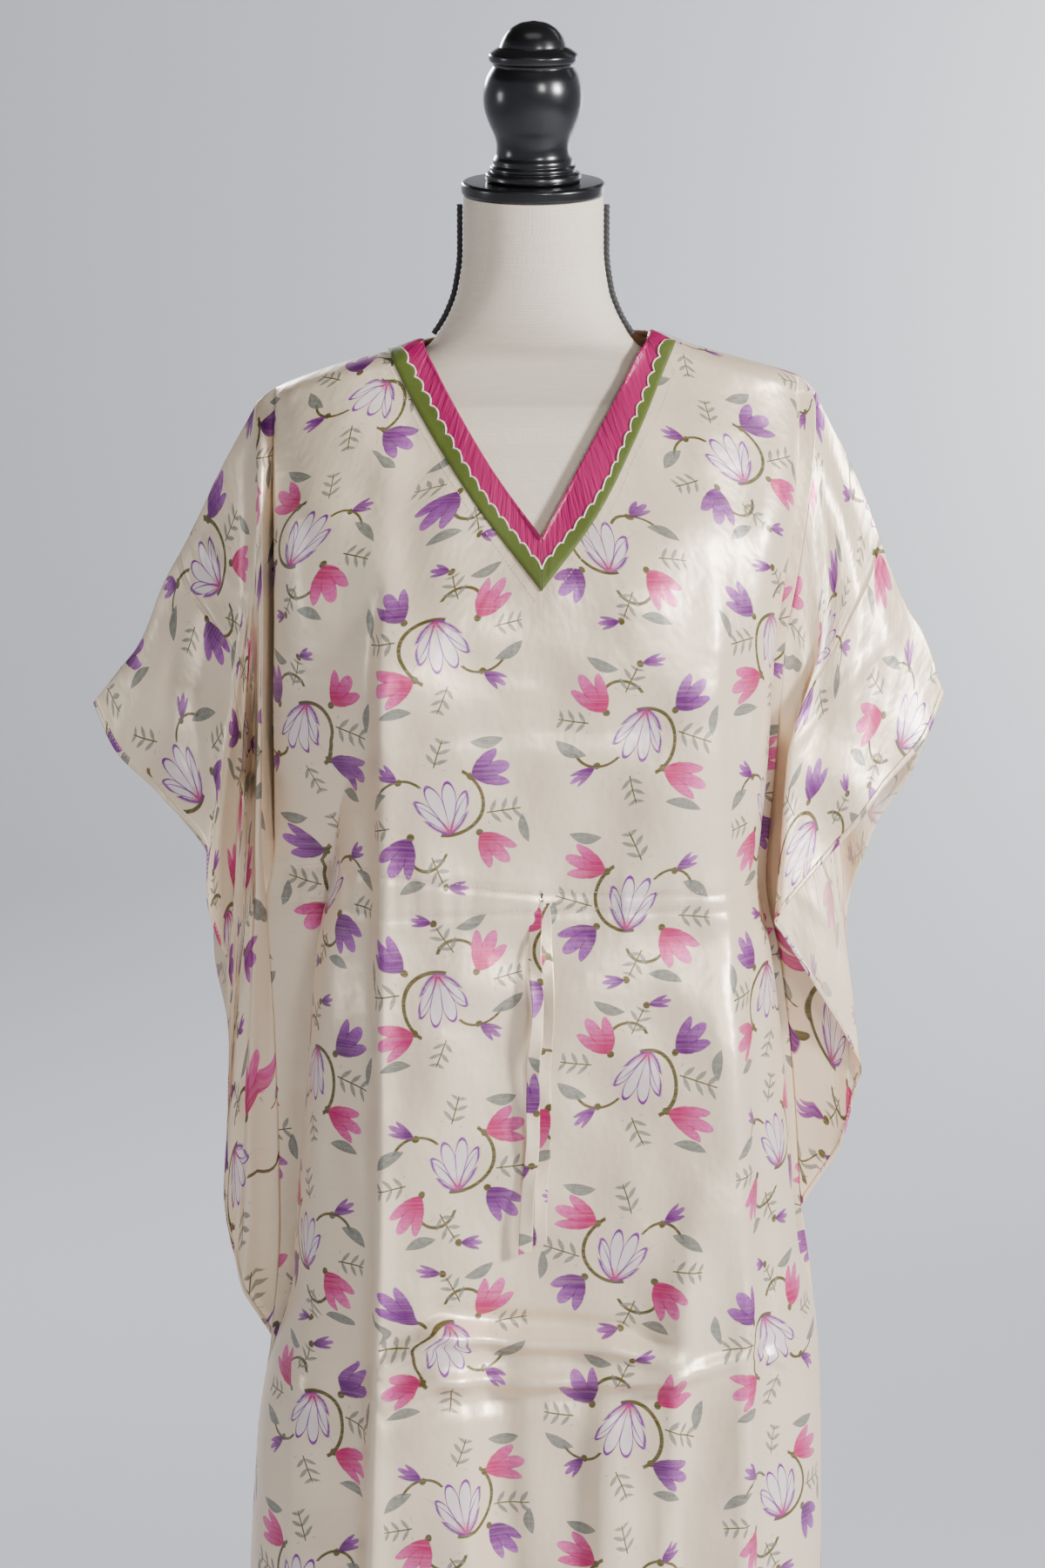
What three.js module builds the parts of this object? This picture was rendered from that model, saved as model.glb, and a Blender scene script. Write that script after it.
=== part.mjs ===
import * as THREE from 'three';

// Sizes in millimetres. Depth is +Y, so the front of the kaftan has negative depths.
const CLOTH = 1.2;
const SEAM_GAP = 0.3;
const HEM_HEIGHT = 75;
const LEVEL_START = 1180;
const HALF_SHOULDER = 225;
const SLEEVE_SEAM = 360;
const HALF_SLEEVE = 500;
const HIP_HALF = 335;
const FORM_CLEAR = 3.0;
const BASE_RADIUS = 165;
const BASE_HEIGHT = 18;
const POLE_RADIUS = 14;
const TORSO_BOTTOM = 770;
const NECK_TILT = 12.5;

// How the outline was read: a picture point and a depth give a place on the garment.
const EYE = { side: -8.3, back: 2583, up: 1376, tilt: 6.5, focal: 3768, midX: 600, midY: 900 };
const DEG = Math.PI / 180;

function see(px, py, deep) {
  const u = (px - EYE.midX) / EYE.focal;
  const v = (EYE.midY - py) / EYE.focal;
  const c = Math.cos(EYE.tilt * DEG);
  const s = Math.sin(EYE.tilt * DEG);
  const t = (EYE.back + deep) / (c + v * s);
  return [EYE.side + t * u, deep, EYE.up + t * (v * c - s)];
}

const clamp = (x, a = 0, b = 1) => Math.min(b, Math.max(a, x));
const mix = (a, b, t) => a + (b - a) * t;
const ease = (x, a, b) => {
  const t = clamp((x - a) / (b - a));
  return t * t * (3 - 2 * t);
};
const hill = (x, wide) => Math.exp(-(x * x) / (wide * wide));

// A smooth line through rows of [place, value, ...], held flat past its ends.
function curve(rows) {
  const t = rows.map((row) => row[0]);
  const slope = (i, k) => (rows[i + 1][k] - rows[i][k]) / (t[i + 1] - t[i]);
  const lean = (i, k) => {
    if (i === 0) return slope(0, k);
    if (i === rows.length - 1) return slope(i - 1, k);
    const a = slope(i - 1, k);
    const b = slope(i, k);
    return a * b <= 0 ? 0 : (2 * a * b) / (a + b);
  };
  return (at) => {
    const x = clamp(at, t[0], t[t.length - 1]);
    let i = 0;
    while (i < t.length - 2 && x > t[i + 1]) i += 1;
    const h = t[i + 1] - t[i];
    const w = (x - t[i]) / h;
    return rows[i].slice(1).map((value, n) => {
      const k = n + 1;
      const a = value;
      const b = rows[i + 1][k];
      return (
        a * (1 + 2 * w) * (1 - w) ** 2 + b * w * w * (3 - 2 * w)
        + h * w * (1 - w) * (lean(i, k) * (1 - w) - lean(i + 1, k) * w)
      );
    });
  };
}

// Lines that run down the cloth: rows of [picture x, picture y, depth], then the hem's [x, depth].
function down(rows, hem) {
  const places = rows.map((row) => see(...row));
  places.push([hem[0], hem[1], HEM_HEIGHT]);
  return curve(places.map(([x, y, z]) => [-z, x, y]));
}

const LINES = {
  seamLeft: down([[296, 461, 2], [303, 540, -2], [306, 700, -6], [302, 880, -14], [300, 950, -18],
    [306, 1050, -18], [316, 1200, -16], [322, 1400, -12], [312, 1533, -8], [300, 1620, -2],
    [290, 1800, 4]], [-240, 6]),
  upperFoldLeft: down([[317, 445, 2], [312, 540, -50], [313, 700, -55], [312, 850, -50],
    [313, 950, -40], [320, 1050, -30], [330, 1200, -30], [334, 1400, -30], [322, 1530, -30],
    [306, 1620, -30], [296, 1800, -30]], [-233, -40]),
  lowerFoldLeft: down([[400, 414, 2], [400, 600, -80], [398, 750, -80], [396, 847, -75],
    [388, 900, -70], [380, 1000, -70], [360, 1100, -70], [350, 1250, -70], [337, 1400, -70],
    [330, 1530, -70], [316, 1620, -70], [305, 1800, -70]], [-222, -80]),
  edgeLeft: down([[446, 402, 2], [441, 600, -105], [440, 730, -118], [440, 1000, -112],
    [440, 1400, -120], [434, 1600, -122], [427, 1800, -126]], [-150, -140]),
  neckLeft: down([[486, 390, 2], [506, 600, -110], [512, 760, -128], [512, 1800, -138]], [-80, -150]),
  centre: down([[622, 618, -112], [621, 760, -134], [618, 1800, -140]], [4, -152]),
  neckRight: down([[746, 380, 2], [728, 600, -110], [724, 760, -128], [730, 1800, -138]], [90, -150]),
  edgeRight: down([[800, 397, 2], [815, 600, -100], [822, 760, -112], [834, 1030, -110],
    [848, 1400, -116], [858, 1560, -118], [856, 1800, -122]], [170, -140]),
  foldRight: down([[915, 431, 2], [917, 566, -50], [905, 664, -60], [893, 736, -60], [883, 894, -60],
    [873, 1010, -60], [888, 1094, -60], [900, 1190, -60], [908, 1280, -60], [914, 1370, -60],
    [920, 1445, -50], [929, 1585, -50], [930, 1800, -50]], [232, -60]),
  seamRight: down([[936, 449, 2], [926, 566, -2], [912, 664, -6], [899, 736, -8], [889, 894, -12],
    [880, 1010, -14], [895, 1094, -14], [907, 1190, -13], [914, 1280, -12], [920, 1383, -10],
    [929, 1445, -8], [939, 1585, -4], [940, 1800, 4]], [244, 6]),
};
const ORDER = ['seamLeft', 'upperFoldLeft', 'lowerFoldLeft', 'edgeLeft', 'neckLeft', 'centre',
  'neckRight', 'edgeRight', 'foldRight', 'seamRight'];
const line = (name, z) => LINES[name](-z);

// Depth of the middle of the front and of the back at each height.
const FRONT_MIDDLE = curve([[75, -156], [440, -144], [650, -138], [800, -134], [930, -128],
  [985, -120], [1030, -124], [1100, -131], [1190, -135], [1230, -130], [1276, -114], [1330, -84],
  [1390, -50], [1430, -30]]);
const BACK_MIDDLE = curve([[75, 140], [440, 128], [650, 122], [850, 126], [930, 112], [985, 94],
  [1040, 96], [1150, 99], [1250, 102], [1320, 98], [1370, 82], [1400, 60], [1432, 48]]);
// How far each layer stands off the side seam, where the sleeves are open to the body.
const SLEEVE_OPEN = curve([[1080, 0], [1120, 8], [1170, 22], [1290, 24], [1340, 18], [1390, 0]]);

// The dress form: height, half width, front depth, back depth, squareness.
const FORM_RINGS = [
  [770, 150, -100, 108, 2.3], [800, 160, -108, 116, 2.3], [860, 168, -110, 120, 2.3],
  [930, 158, -104, 106, 2.2], [990, 134, -94, 84, 2.2], [1040, 122, -90, 74, 2.2],
  [1090, 128, -98, 78, 2.2], [1150, 142, -120, 85, 2.3], [1195, 150, -130, 90, 2.4],
  [1240, 154, -122, 93, 2.4], [1290, 160, -98, 94, 2.4], [1335, 178, -74, 86, 2.5],
  [1362, 194, -58, 72, 2.6], [1378, 190, -49, 60, 2.6], [1392, 163, -44, 52, 2.5],
  [1404, 131, -42, 46, 2.4], [1416, 99, -41, 42, 2.2], [1428, 80, -45, 40, 2.1],
  [1445, 68, -53, 40, 2], [1470, 58, -60, 42, 2], [1505, 54, -68, 40, 2], [1541, 54, -75, 33, 2],
];
const formAt = curve(FORM_RINGS);

// Depth of the form's surface at a place, moved out all round; null beside it.
function formDepth(x, z, out, front) {
  const [wide, near, far, square] = formAt(z - out);
  const s = Math.abs(x) / (wide + out);
  if (s >= 1 || z - out > FORM_RINGS[FORM_RINGS.length - 1][0]) return null;
  const middle = (near + far) / 2;
  const reach = (far - near) / 2 + out;
  return middle + (front ? -1 : 1) * reach * (1 - s ** square) ** (1 / square);
}

const lobe = (s, square) => (Math.abs(s) >= 1 ? 0 : (1 - Math.abs(s) ** square) ** (1 / square));

// Folds of the front: a line in the picture, half width, height, and fades at its two ends.
const FOLDS = [
  { from: [293, 500], to: [290, 1010], wide: 9, high: 22, fade: 60 },
  { from: [440, 760], to: [428, 1900], wide: 12, high: 7, fade: 80 },
  { from: [798, 1364], to: [764, 1900], wide: 16, high: 7, fade: 90 },
  { from: [858, 1400], to: [856, 1900], wide: 10, high: 6, fade: 90 },
  { from: [560, 1500], to: [548, 1900], wide: 30, high: -5, fade: 90 },
].map((fold) => ({ ...fold, a: see(...fold.from, -100), b: see(...fold.to, -100) }));

function foldDepth(x, z) {
  let sum = 0;
  for (const { a, b, wide, high, fade } of FOLDS) {
    const t = (a[2] - z) / (a[2] - b[2]);
    const middle = mix(a[0], b[0], t);
    const length = a[2] - b[2];
    const shown = ease(t * length, -fade / 2, fade / 2) * ease((1 - t) * length, -fade / 2, fade / 2);
    sum -= high * shown * hill(x - middle, wide);
  }
  return sum;
}

// Soft flutes of the skirt grow towards the hem.
function flute(x, z, phase) {
  const grow = 16 * ease(760 - z, 0, 700);
  const calm = 1 - (Math.abs(x) / 245) ** 4;
  return grow * Math.max(0, calm) * Math.cos(x / 21 + phase + 0.4 * Math.sin(x / 60));
}

function frontDepth(x, z) {
  const [leftX, leftY] = line('seamLeft', z);
  const [rightX, rightY] = line('seamRight', z);
  const open = SLEEVE_OPEN(z)[0];
  const side = mix(leftY, rightY, clamp((x - leftX) / (rightX - leftX))) - open;
  const middle = 4;
  const upper = line('upperFoldLeft', z)[0];
  const low = mix(leftX, line('lowerFoldLeft', z)[0], ease(z, 600, 700));
  const high = mix(upper, leftX, ease(1040 - z, 0, 60));
  const right = mix(line('foldRight', z)[0], rightX, ease(720 - z, 0, 60));
  const upperShare = mix(0.15, 1, ease(z, 960, 1150)) * ease(z, 900, 1010);
  const lowerShare = mix(1, 0.6, ease(z, 1110, 1230));
  const reach = FRONT_MIDDLE(z)[0] - side;
  const edge = (a) => (x < middle ? (x - middle) / (middle - a) : (x - middle) / (right - middle));
  const bulge = Math.max(upperShare * lobe(edge(high), 2.6), lowerShare * lobe(edge(low), 3));
  return side + reach * bulge + foldDepth(x, z) + flute(x, z, 0.3);
}

function backDepth(x, z) {
  const [leftX, leftY] = line('seamLeft', z);
  const [rightX, rightY] = line('seamRight', z);
  const side = mix(leftY, rightY, clamp((x - leftX) / (rightX - leftX))) + SLEEVE_OPEN(z)[0];
  const middle = (leftX + rightX) / 2;
  const half = (rightX - leftX) / 2;
  const reach = BACK_MIDDLE(z)[0] - side;
  return side + reach * lobe((x - middle) / half, 2.5) - flute(x, z, 1.1);
}

// A place on the body of one layer, kept clear of the form.
function bodyPlace(x, z, front) {
  const y = front ? frontDepth(x, z) : backDepth(x, z);
  const form = formDepth(x, z, FORM_CLEAR, front);
  if (form === null) return [x, y, z];
  return [x, front ? Math.min(y, form) : Math.max(y, form), z];
}

// The top of each layer: share across, then the place on the ridge or the neck edge.
const RIDGE = 2;
const FRONT_TOP = [
  [0, 296, 461, RIDGE], [1, 318, 445, RIDGE], [2, 400, 414, RIDGE], [3, 446, 402, RIDGE],
  [4, 486, 390, RIDGE], [4.08, 489, 403, -26], [4.16, 499, 422, -40], [4.28, 514, 452, -50],
  [4.62, 567, 543, -84], [5, 622, 618, -114], [5.38, 666, 535, -84], [5.72, 713, 446, -50],
  [5.84, 731, 410, -40], [5.92, 742, 392, -26], [6, 746, 380, RIDGE], [7, 800, 397, RIDGE],
  [8, 918, 432, RIDGE], [9, 936, 449, RIDGE],
];
const BACK_TOP = [
  [0, 296, 461, RIDGE], [1, 318, 445, RIDGE], [2, 400, 414, RIDGE], [3, 446, 402, RIDGE],
  [4, 486, 390, RIDGE], [4.4, 520, 384, 34], [5, 616, 376, 50], [5.6, 708, 378, 34],
  [6, 746, 380, RIDGE], [7, 800, 397, RIDGE], [8, 918, 432, RIDGE], [9, 936, 449, RIDGE],
];
const topOf = (rows) => curve(rows.map(([t, px, py, deep]) => [t, ...see(px, py, deep)]));
const frontTop = topOf(FRONT_TOP);
const backTop = topOf(BACK_TOP);

// Where each column stands below the shoulder.
function columnX(t, z) {
  const i = Math.min(8, Math.floor(t));
  return mix(line(ORDER[i], z)[0], line(ORDER[i + 1], z)[0], t - i);
}

const COLUMNS_FRONT = [0, 0.5, 1, 1.15, 1.4, 1.7, 1.95, 2.05, 2.25, 2.6, 3, 3.35, 3.7, 4, 4.03, 4.08, 4.16,
  4.28, 4.45, 4.62, 4.8, 5, 5.2, 5.38, 5.55, 5.72, 5.84, 5.92, 5.97, 6, 6.35, 6.7, 7, 7.4, 7.7, 7.88, 7.97, 8.4, 9];
const COLUMNS_BACK = [0, 0.6, 1.1, 1.6, 2.1, 2.6, 3, 3.5, 4, 4.3, 4.6, 5, 5.4, 5.7, 6, 6.5, 7, 7.4,
  7.7, 8, 8.5, 9];
const TOP_ROWS = [0, 0.06, 0.14, 0.25, 0.38, 0.52, 0.68, 0.84];
const LEVELS = [1180, 1140, 1100, 1060, 1025, 998, 975, 945, 905, 860, 810, 760, 710, 660, 620, 575,
  520, 450, 370, 280, 180, 75];

class Sheet {
  constructor() {
    this.places = [];
    this.faces = [];
    this.index = new Map();
    this.rest = new Map();
    this.shared = new Map();
  }

  // Adds a place, or finds the one already there. Rest is the depth of the seam it is sewn at.
  add([x, y, z], rest = null) {
    const key = [x, y, z].map((n) => Math.round(n * 100)).join();
    if (!this.index.has(key)) {
      this.index.set(key, this.places.length);
      this.places.push([x, y, z]);
    }
    const i = this.index.get(key);
    if (rest !== null) this.rest.set(i, rest);
    return i;
  }

  face(a, b, c) {
    if (a !== b && b !== c && a !== c) this.faces.push([a, b, c]);
  }

  grid(rows) {
    for (let r = 0; r + 1 < rows.length; r += 1) {
      for (let c = 0; c + 1 < rows[r].length; c += 1) {
        const [a, b, d, e] = [rows[r][c], rows[r][c + 1], rows[r + 1][c], rows[r + 1][c + 1]];
        if ((r + c) % 2) {
          this.face(a, d, e);
          this.face(a, e, b);
        } else {
          this.face(a, d, b);
          this.face(b, d, e);
        }
      }
    }
  }

  // Joins two runs of places that lie side by side.
  zip(one, two) {
    const gap = (i, j) => {
      const p = this.places[i];
      const q = this.places[j];
      return Math.hypot(p[0] - q[0], p[1] - q[1], p[2] - q[2]);
    };
    let i = 0;
    let j = 0;
    while (i < one.length - 1 || j < two.length - 1) {
      const canOne = i < one.length - 1;
      const canTwo = j < two.length - 1;
      const stepOne = canOne && (!canTwo || gap(one[i + 1], two[j]) <= gap(one[i], two[j + 1]));
      if (stepOne) {
        this.face(one[i], two[j], one[i + 1]);
        i += 1;
      } else {
        this.face(one[i], two[j], two[j + 1]);
        j += 1;
      }
    }
  }

  normals() {
    const out = this.places.map(() => new THREE.Vector3());
    const v = (i) => new THREE.Vector3(...this.places[i]);
    for (const [a, b, c] of this.faces) {
      const n = v(b).sub(v(a)).cross(v(c).sub(v(a)));
      for (const i of [a, b, c]) out[i].add(n);
    }
    return out;
  }

  // Each place's own direction, or the one it shares with the piece sewn to it.
  directions() {
    return this.normals().map((n, i) => (this.shared.get(i) ?? n).clone().normalize());
  }

  // Turns the sheet into a wall: both faces, and a strip along each open edge.
  wall(thick, towards) {
    let normals = this.directions();
    for (const [i, rest] of this.rest) {
      this.places[i][1] = rest + towards * (SEAM_GAP / 2 + (thick / 2) * Math.abs(normals[i].y));
    }
    normals = this.directions();
    const n = this.places.length;
    const points = [];
    for (const side of [1, -1]) {
      this.places.forEach((p, i) => {
        const m = normals[i];
        points.push(p[0] + (side * thick * m.x) / 2, p[1] + (side * thick * m.y) / 2,
          p[2] + (side * thick * m.z) / 2);
      });
    }
    const index = [];
    const edges = new Map();
    for (const [a, b, c] of this.faces) {
      index.push(a, b, c, a + n, c + n, b + n);
      for (const [p, q] of [[a, b], [b, c], [c, a]]) {
        if (edges.has(`${q},${p}`)) edges.delete(`${q},${p}`);
        else edges.set(`${p},${q}`, [p, q]);
      }
    }
    for (const [p, q] of edges.values()) index.push(q, p, p + n, q, p + n, q + n);
    return solid(points, index);
  }
}

function solid(points, index) {
  const geometry = new THREE.BufferGeometry();
  geometry.setAttribute('position', new THREE.Float32BufferAttribute(points, 3));
  geometry.setIndex(index);
  return geometry;
}

// The free edges of the wings, from the sleeve tip to the hip: picture places and depths, and what
// the edge would be if it hung without folds.
const WINGS = {
  left: {
    seam: 'seamLeft', sign: -1, dip: 175,
    ridge: [[296, 461, RIDGE], [254, 538, RIDGE], [218, 615, RIDGE], [187, 673, RIDGE],
      [165, 736, RIDGE], [135, 772, RIDGE], [107, 807, RIDGE]],
    front: [[107, 807, RIDGE], [133, 862, -16], [187, 916, -34], [238, 981, -52], [237, 1030, -56],
      [251, 1078, -54], [266, 1110, -50], [262, 1152, -48], [265, 1190, -46], [260, 1260, -44],
      [249, 1380, -38], [270, 1463, -24], [312, 1533, -8]],
    back: [[107, 807, RIDGE], [140, 866, 14], [200, 930, 26], [244, 1000, 38], [246, 1090, 34],
      [262, 1180, 24], [266, 1290, 30], [262, 1400, 22], [312, 1533, -8]],
  },
  right: {
    seam: 'seamRight', sign: 1, dip: 175,
    ridge: [[936, 449, RIDGE], [948, 475, RIDGE], [970, 518, RIDGE], [998, 582, RIDGE],
      [1021, 649, RIDGE], [1041, 696, RIDGE], [1061, 728, RIDGE], [1084, 797, RIDGE]],
    front: [[1084, 797, RIDGE], [1063, 847, -18], [1014, 906, -34], [978, 955, -46],
      [932, 1006, -56], [894, 1050, -64], [889, 1057, -58], [897, 1070, -50], [935, 1130, -44],
      [980, 1206, -34], [989, 1228, -27], [982, 1250, -20], [962, 1319, -15], [942, 1350, -12],
      [920, 1383, -10]],
    back: [[1084, 797, RIDGE], [1050, 880, 14], [1000, 960, 26], [972, 1060, 34], [974, 1160, 26],
      [966, 1260, 20], [942, 1330, 6], [920, 1383, -10]],
  },
};

// A 3-D line through places, taken by its share of length.
function path(places) {
  const rows = [];
  let sum = 0;
  places.forEach((p, i) => {
    if (i) sum += Math.hypot(...p.map((n, k) => n - places[i - 1][k]));
    rows.push([sum, ...p]);
  });
  const run = curve(rows.map(([t, ...p]) => [t / sum, ...p]));
  return (t) => run(t);
}

// The left wing tucks back into a deep fold beside the pleat.
const TUCK = { from: 0.36, to: 0.92, wide: 12, deep: 36 };
const RAYS = 22;
const SHARES_IN = [0.2, 0.4, 0.65, 1];
const SHARES_OUT = [0.34, 0.67, 1];
const NEAR = [5, 11, 18];

// One layer of one wing: rays from the side line out to the free edge.
function wingRays(name, front) {
  const { seam, ridge, dip } = WINGS[name];
  const edge = path(WINGS[name][front ? 'front' : 'back'].map((p) => see(...p)));
  const calm = name === 'left' || !front ? edge : path([edge(0), see(1015, 1090, -40), edge(1)]);
  const ridgeRun = path(ridge.map((p) => see(...p)));
  const start = ridgeRun(0);
  const away = front ? -1 : 1;
  const rays = [];
  for (let k = 0; k <= RAYS; k += 1) {
    const t = k / RAYS;
    const z = start[2] - dip * t ** 0.9;
    const onSeam = (height) => {
      const [x, y] = line(seam, height);
      return [x, y + away * SLEEVE_OPEN(height)[0], height];
    };
    // Below the sleeve opening a layer stays on its own side of the side seam.
    const clearOfSeam = ([x, y, height]) => {
      if (height > 1080) return [x, y, height];
      const [sx, sy] = line(seam, height);
      const off = 0.75 + Math.min(7, 0.16 * Math.abs(x - sx));
      return [x, front ? Math.min(y, sy - off) : Math.max(y, sy + off), height];
    };
    const from = k ? onSeam(z) : start;
    const at = (r) => {
      if (k === 0) return ridgeRun(r);
      if (k === RAYS) {
        const p = onSeam(mix(z, edge(1)[2], r));
        return clearOfSeam([p[0] + WINGS[name].sign * NEAR[0] * (1 - r), p[1], p[2]]);
      }
      const folded = ease(r, 0.12, 0.62);
      const target = calm(t).map((n, i) => mix(n, edge(t)[i], folded));
      const p = target.map((n, i) => mix(from[i], n, r));
      if (front) p[1] += foldDepth(p[0], p[2]);
      if (front && name === 'left') {
        const share = clamp((t - TUCK.from) / (TUCK.to - TUCK.from));
        const shown = Math.sin(Math.PI * share) * ease(r, 0, 0.35);
        p[0] -= TUCK.wide * (1 - 2 * share) * shown;
        p[1] += TUCK.deep * shown;
      }
      return clearOfSeam(p);
    };
    const far = at(1);
    const long = Math.hypot(far[0] - from[0], far[1] - from[1], far[2] - from[2]);
    const flatEdge = mix(HALF_SLEEVE, HIP_HALF, ease(t, 0.35, 1));
    const cut = Math.min(1, (SLEEVE_SEAM - HALF_SHOULDER) / (flatEdge - HALF_SHOULDER));
    rays.push({ at, long, cut });
  }
  return rays;
}

// The body of one layer as rows of places, from the ridge and the neck edge to the hem.
function bodyRows(front) {
  const top = front ? frontTop : backTop;
  const columns = front ? COLUMNS_FRONT : COLUMNS_BACK;
  const rows = TOP_ROWS.map((v) => columns.map((t) => {
    const [x, y, z] = top(t);
    if (v === 0) {
      const form = t > 4 && t < 6 ? formDepth(x, z, FORM_CLEAR + 1, front) : null;
      return form === null ? [x, y, z] : [x, front ? Math.min(y, form) : Math.max(y, form), z];
    }
    const low = mix(z, LEVEL_START, v);
    return bodyPlace(mix(x, columnX(t, low), ease(v, 0, 0.5)), low, front);
  }));
  const hips = ['left', 'right'].map((name) => see(...WINGS[name].front.at(-1))[2]);
  const levels = [...LEVELS, ...hips].sort((a, b) => b - a);
  for (const z of levels) rows.push(columns.map((t) => bodyPlace(columnX(t, z), z, front)));
  return { rows, columns };
}

// One layer of the kaftan: the panel with its inner wings, and the two sleeve strips.
function layer(front) {
  const towards = front ? -1 : 1;
  const { rows, columns } = bodyRows(front);
  const sheet = new Sheet();
  const ids = rows.map((row, r) => row.map((p, c) => {
    const t = columns[c];
    const ridge = r === 0 && (t <= 4 || t >= 6);
    const side = t === 0 || t === 9;
    const seam = side && SLEEVE_OPEN(p[2])[0] < 0.01;
    let rest = null;
    if (ridge) rest = RIDGE;
    else if (seam) rest = line(t === 0 ? 'seamLeft' : 'seamRight', p[2])[1];
    return sheet.add(p, rest);
  }));
  sheet.grid(ids);
  const strips = {};
  for (const name of ['left', 'right']) {
    const isLeft = name === 'left';
    const rays = wingRays(name, front);
    const strip = new Sheet();
    const hip = see(...WINGS[name].front.at(-1));
    const columnIds = ids.map((row) => (isLeft ? row[0] : row.at(-1)));
    const column = columnIds.filter((i) => sheet.places[i][2] >= hip[2] - 0.01);
    // Across the sleeve seam, in the cloth and away from the body.
    const across = (k) => {
      const spot = (n, more = 0) => new THREE.Vector3(...rays[n].at(Math.min(1, rays[n].cut + more)));
      const along = spot(Math.min(RAYS - 1, k + 1)).sub(spot(Math.max(0, k - 1))).normalize();
      const out = spot(k, 0.02).sub(spot(k, -0.02));
      return out.addScaledVector(along, -out.dot(along)).normalize().toArray();
    };
    const inner = [];
    const outer = [];
    const run = [];
    const pairs = [];
    rays.forEach((ray, k) => {
      const last = k === RAYS;
      const shares = NEAR.map((n) => n / ray.long);
      for (const share of SHARES_IN) shares.push(mix(NEAR[2] / ray.long, ray.cut, share));
      const put = (r, into, gap) => {
        const p = ray.at(r).map((n, i) => n + gap * (gap ? across(k)[i] : 0));
        return into.add(p, k === 0 ? RIDGE : null);
      };
      const seamPair = [];
      if (last) {
        const ends = [0, 0.2, 0.4, 0.6, 0.8, 1].map((r) => (r === 1 ? column.at(-1) : put(r, sheet, 0)));
        run.push(...ends);
        inner.push([...NEAR, ...SHARES_IN].map((n, c, all) => ends[Math.round((c * 5) / (all.length - 1))]));
        return;
      }
      const cutGap = ray.cut < 0.97 ? SEAM_GAP * 2.2 : 0;
      const row = shares.map((r, c) => put(r, sheet, c === shares.length - 1 ? -cutGap : 0));
      inner.push(row);
      run.push(row[0]);
      seamPair.push(row.at(-1));
      if (ray.cut < 0.97) {
        outer.push([0, ...SHARES_OUT].map((share) => put(mix(ray.cut, 1, share), strip,
          share === 0 ? cutGap : 0)));
        pairs.push([seamPair[0], outer.at(-1)[0]]);
      } else if (outer.length && !strip.ended) {
        const p = ray.at(1);
        const q = strip.places[outer.at(-1)[1]];
        const tip = strip.add(p.map((n, i) => mix(n, q[i], 0.12)));
        outer.push([tip, tip, tip, tip]);
        strip.ended = true;
      }
    });
    const flip = (grid) => (isLeft ? grid.map((row) => [...row].reverse()) : grid);
    sheet.grid(flip(inner));
    strip.grid(flip(outer));
    const bound = [column[0], ...run];
    if (isLeft) sheet.zip(column, bound);
    else sheet.zip(bound, column);
    const [mine, theirs] = [sheet.normals(), strip.normals()];
    for (const [i, j] of pairs) {
      const both = mine[i].clone().add(theirs[j]);
      sheet.shared.set(i, both);
      strip.shared.set(j, both);
    }
    strips[name] = strip;
  }
  for (const one of [sheet, strips.left, strips.right]) {
    if (front) continue;
    one.faces = one.faces.map(([a, b, c]) => [a, c, b]);
    for (const n of new Set(one.shared.values())) {
      if (!n.turned) n.negate();
      n.turned = true;
    }
  }
  return { sheet, strips, towards };
}

const group = new THREE.Group();
function part(name, geometry, color, roughness, metalness = 0) {
  const material = new THREE.MeshStandardMaterial({ color, roughness, metalness });
  const mesh = new THREE.Mesh(geometry, material);
  mesh.name = name;
  group.add(mesh);
}

const SATIN = 0xe6d9c8;
const MAGENTA = 0xc01868;
const GREEN = 0x66751c;
const LINEN = 0xe4d6c2;
const BLACK = 0x101012;

const frontLayer = layer(true);
const backLayer = layer(false);
for (const [side, made] of [['front', frontLayer], ['back', backLayer]]) {
  part(side, made.sheet.wall(CLOTH, made.towards), SATIN, 0.35);
  for (const hand of ['left', 'right']) {
    part(`sleeve_strip_${side}_${hand}`, made.strips[hand].wall(CLOTH, made.towards), SATIN, 0.35);
  }
}

// Depth of the front panel's own facets at a place across and up.
const panel = frontLayer.sheet;
const panelTurn = panel.directions();
function onPanel(x, z) {
  let best = null;
  for (const [a, b, c] of panel.faces) {
    const [p, q, r] = [panel.places[a], panel.places[b], panel.places[c]];
    const whole = (q[0] - p[0]) * (r[2] - p[2]) - (r[0] - p[0]) * (q[2] - p[2]);
    const v = ((x - p[0]) * (r[2] - p[2]) - (r[0] - p[0]) * (z - p[2])) / whole;
    const w = ((q[0] - p[0]) * (z - p[2]) - (x - p[0]) * (q[2] - p[2])) / whole;
    const size = Math.hypot(q[0] - p[0], q[2] - p[2]) + Math.hypot(r[0] - p[0], r[2] - p[2]);
    const off = Math.max(0, -v, -w, v + w - 1) * size;
    if (best === null || off < best.off) {
      best = { off, y: p[1] + v * (q[1] - p[1]) + w * (r[1] - p[1]) };
      const corners = [a, b, c].map((i) => panelTurn[i]);
      best.n = corners[0].clone().multiplyScalar(1 - v - w).addScaledVector(corners[1], v)
        .addScaledVector(corners[2], w).normalize();
    }
    if (best.off === 0) break;
  }
  return best;
}

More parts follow.
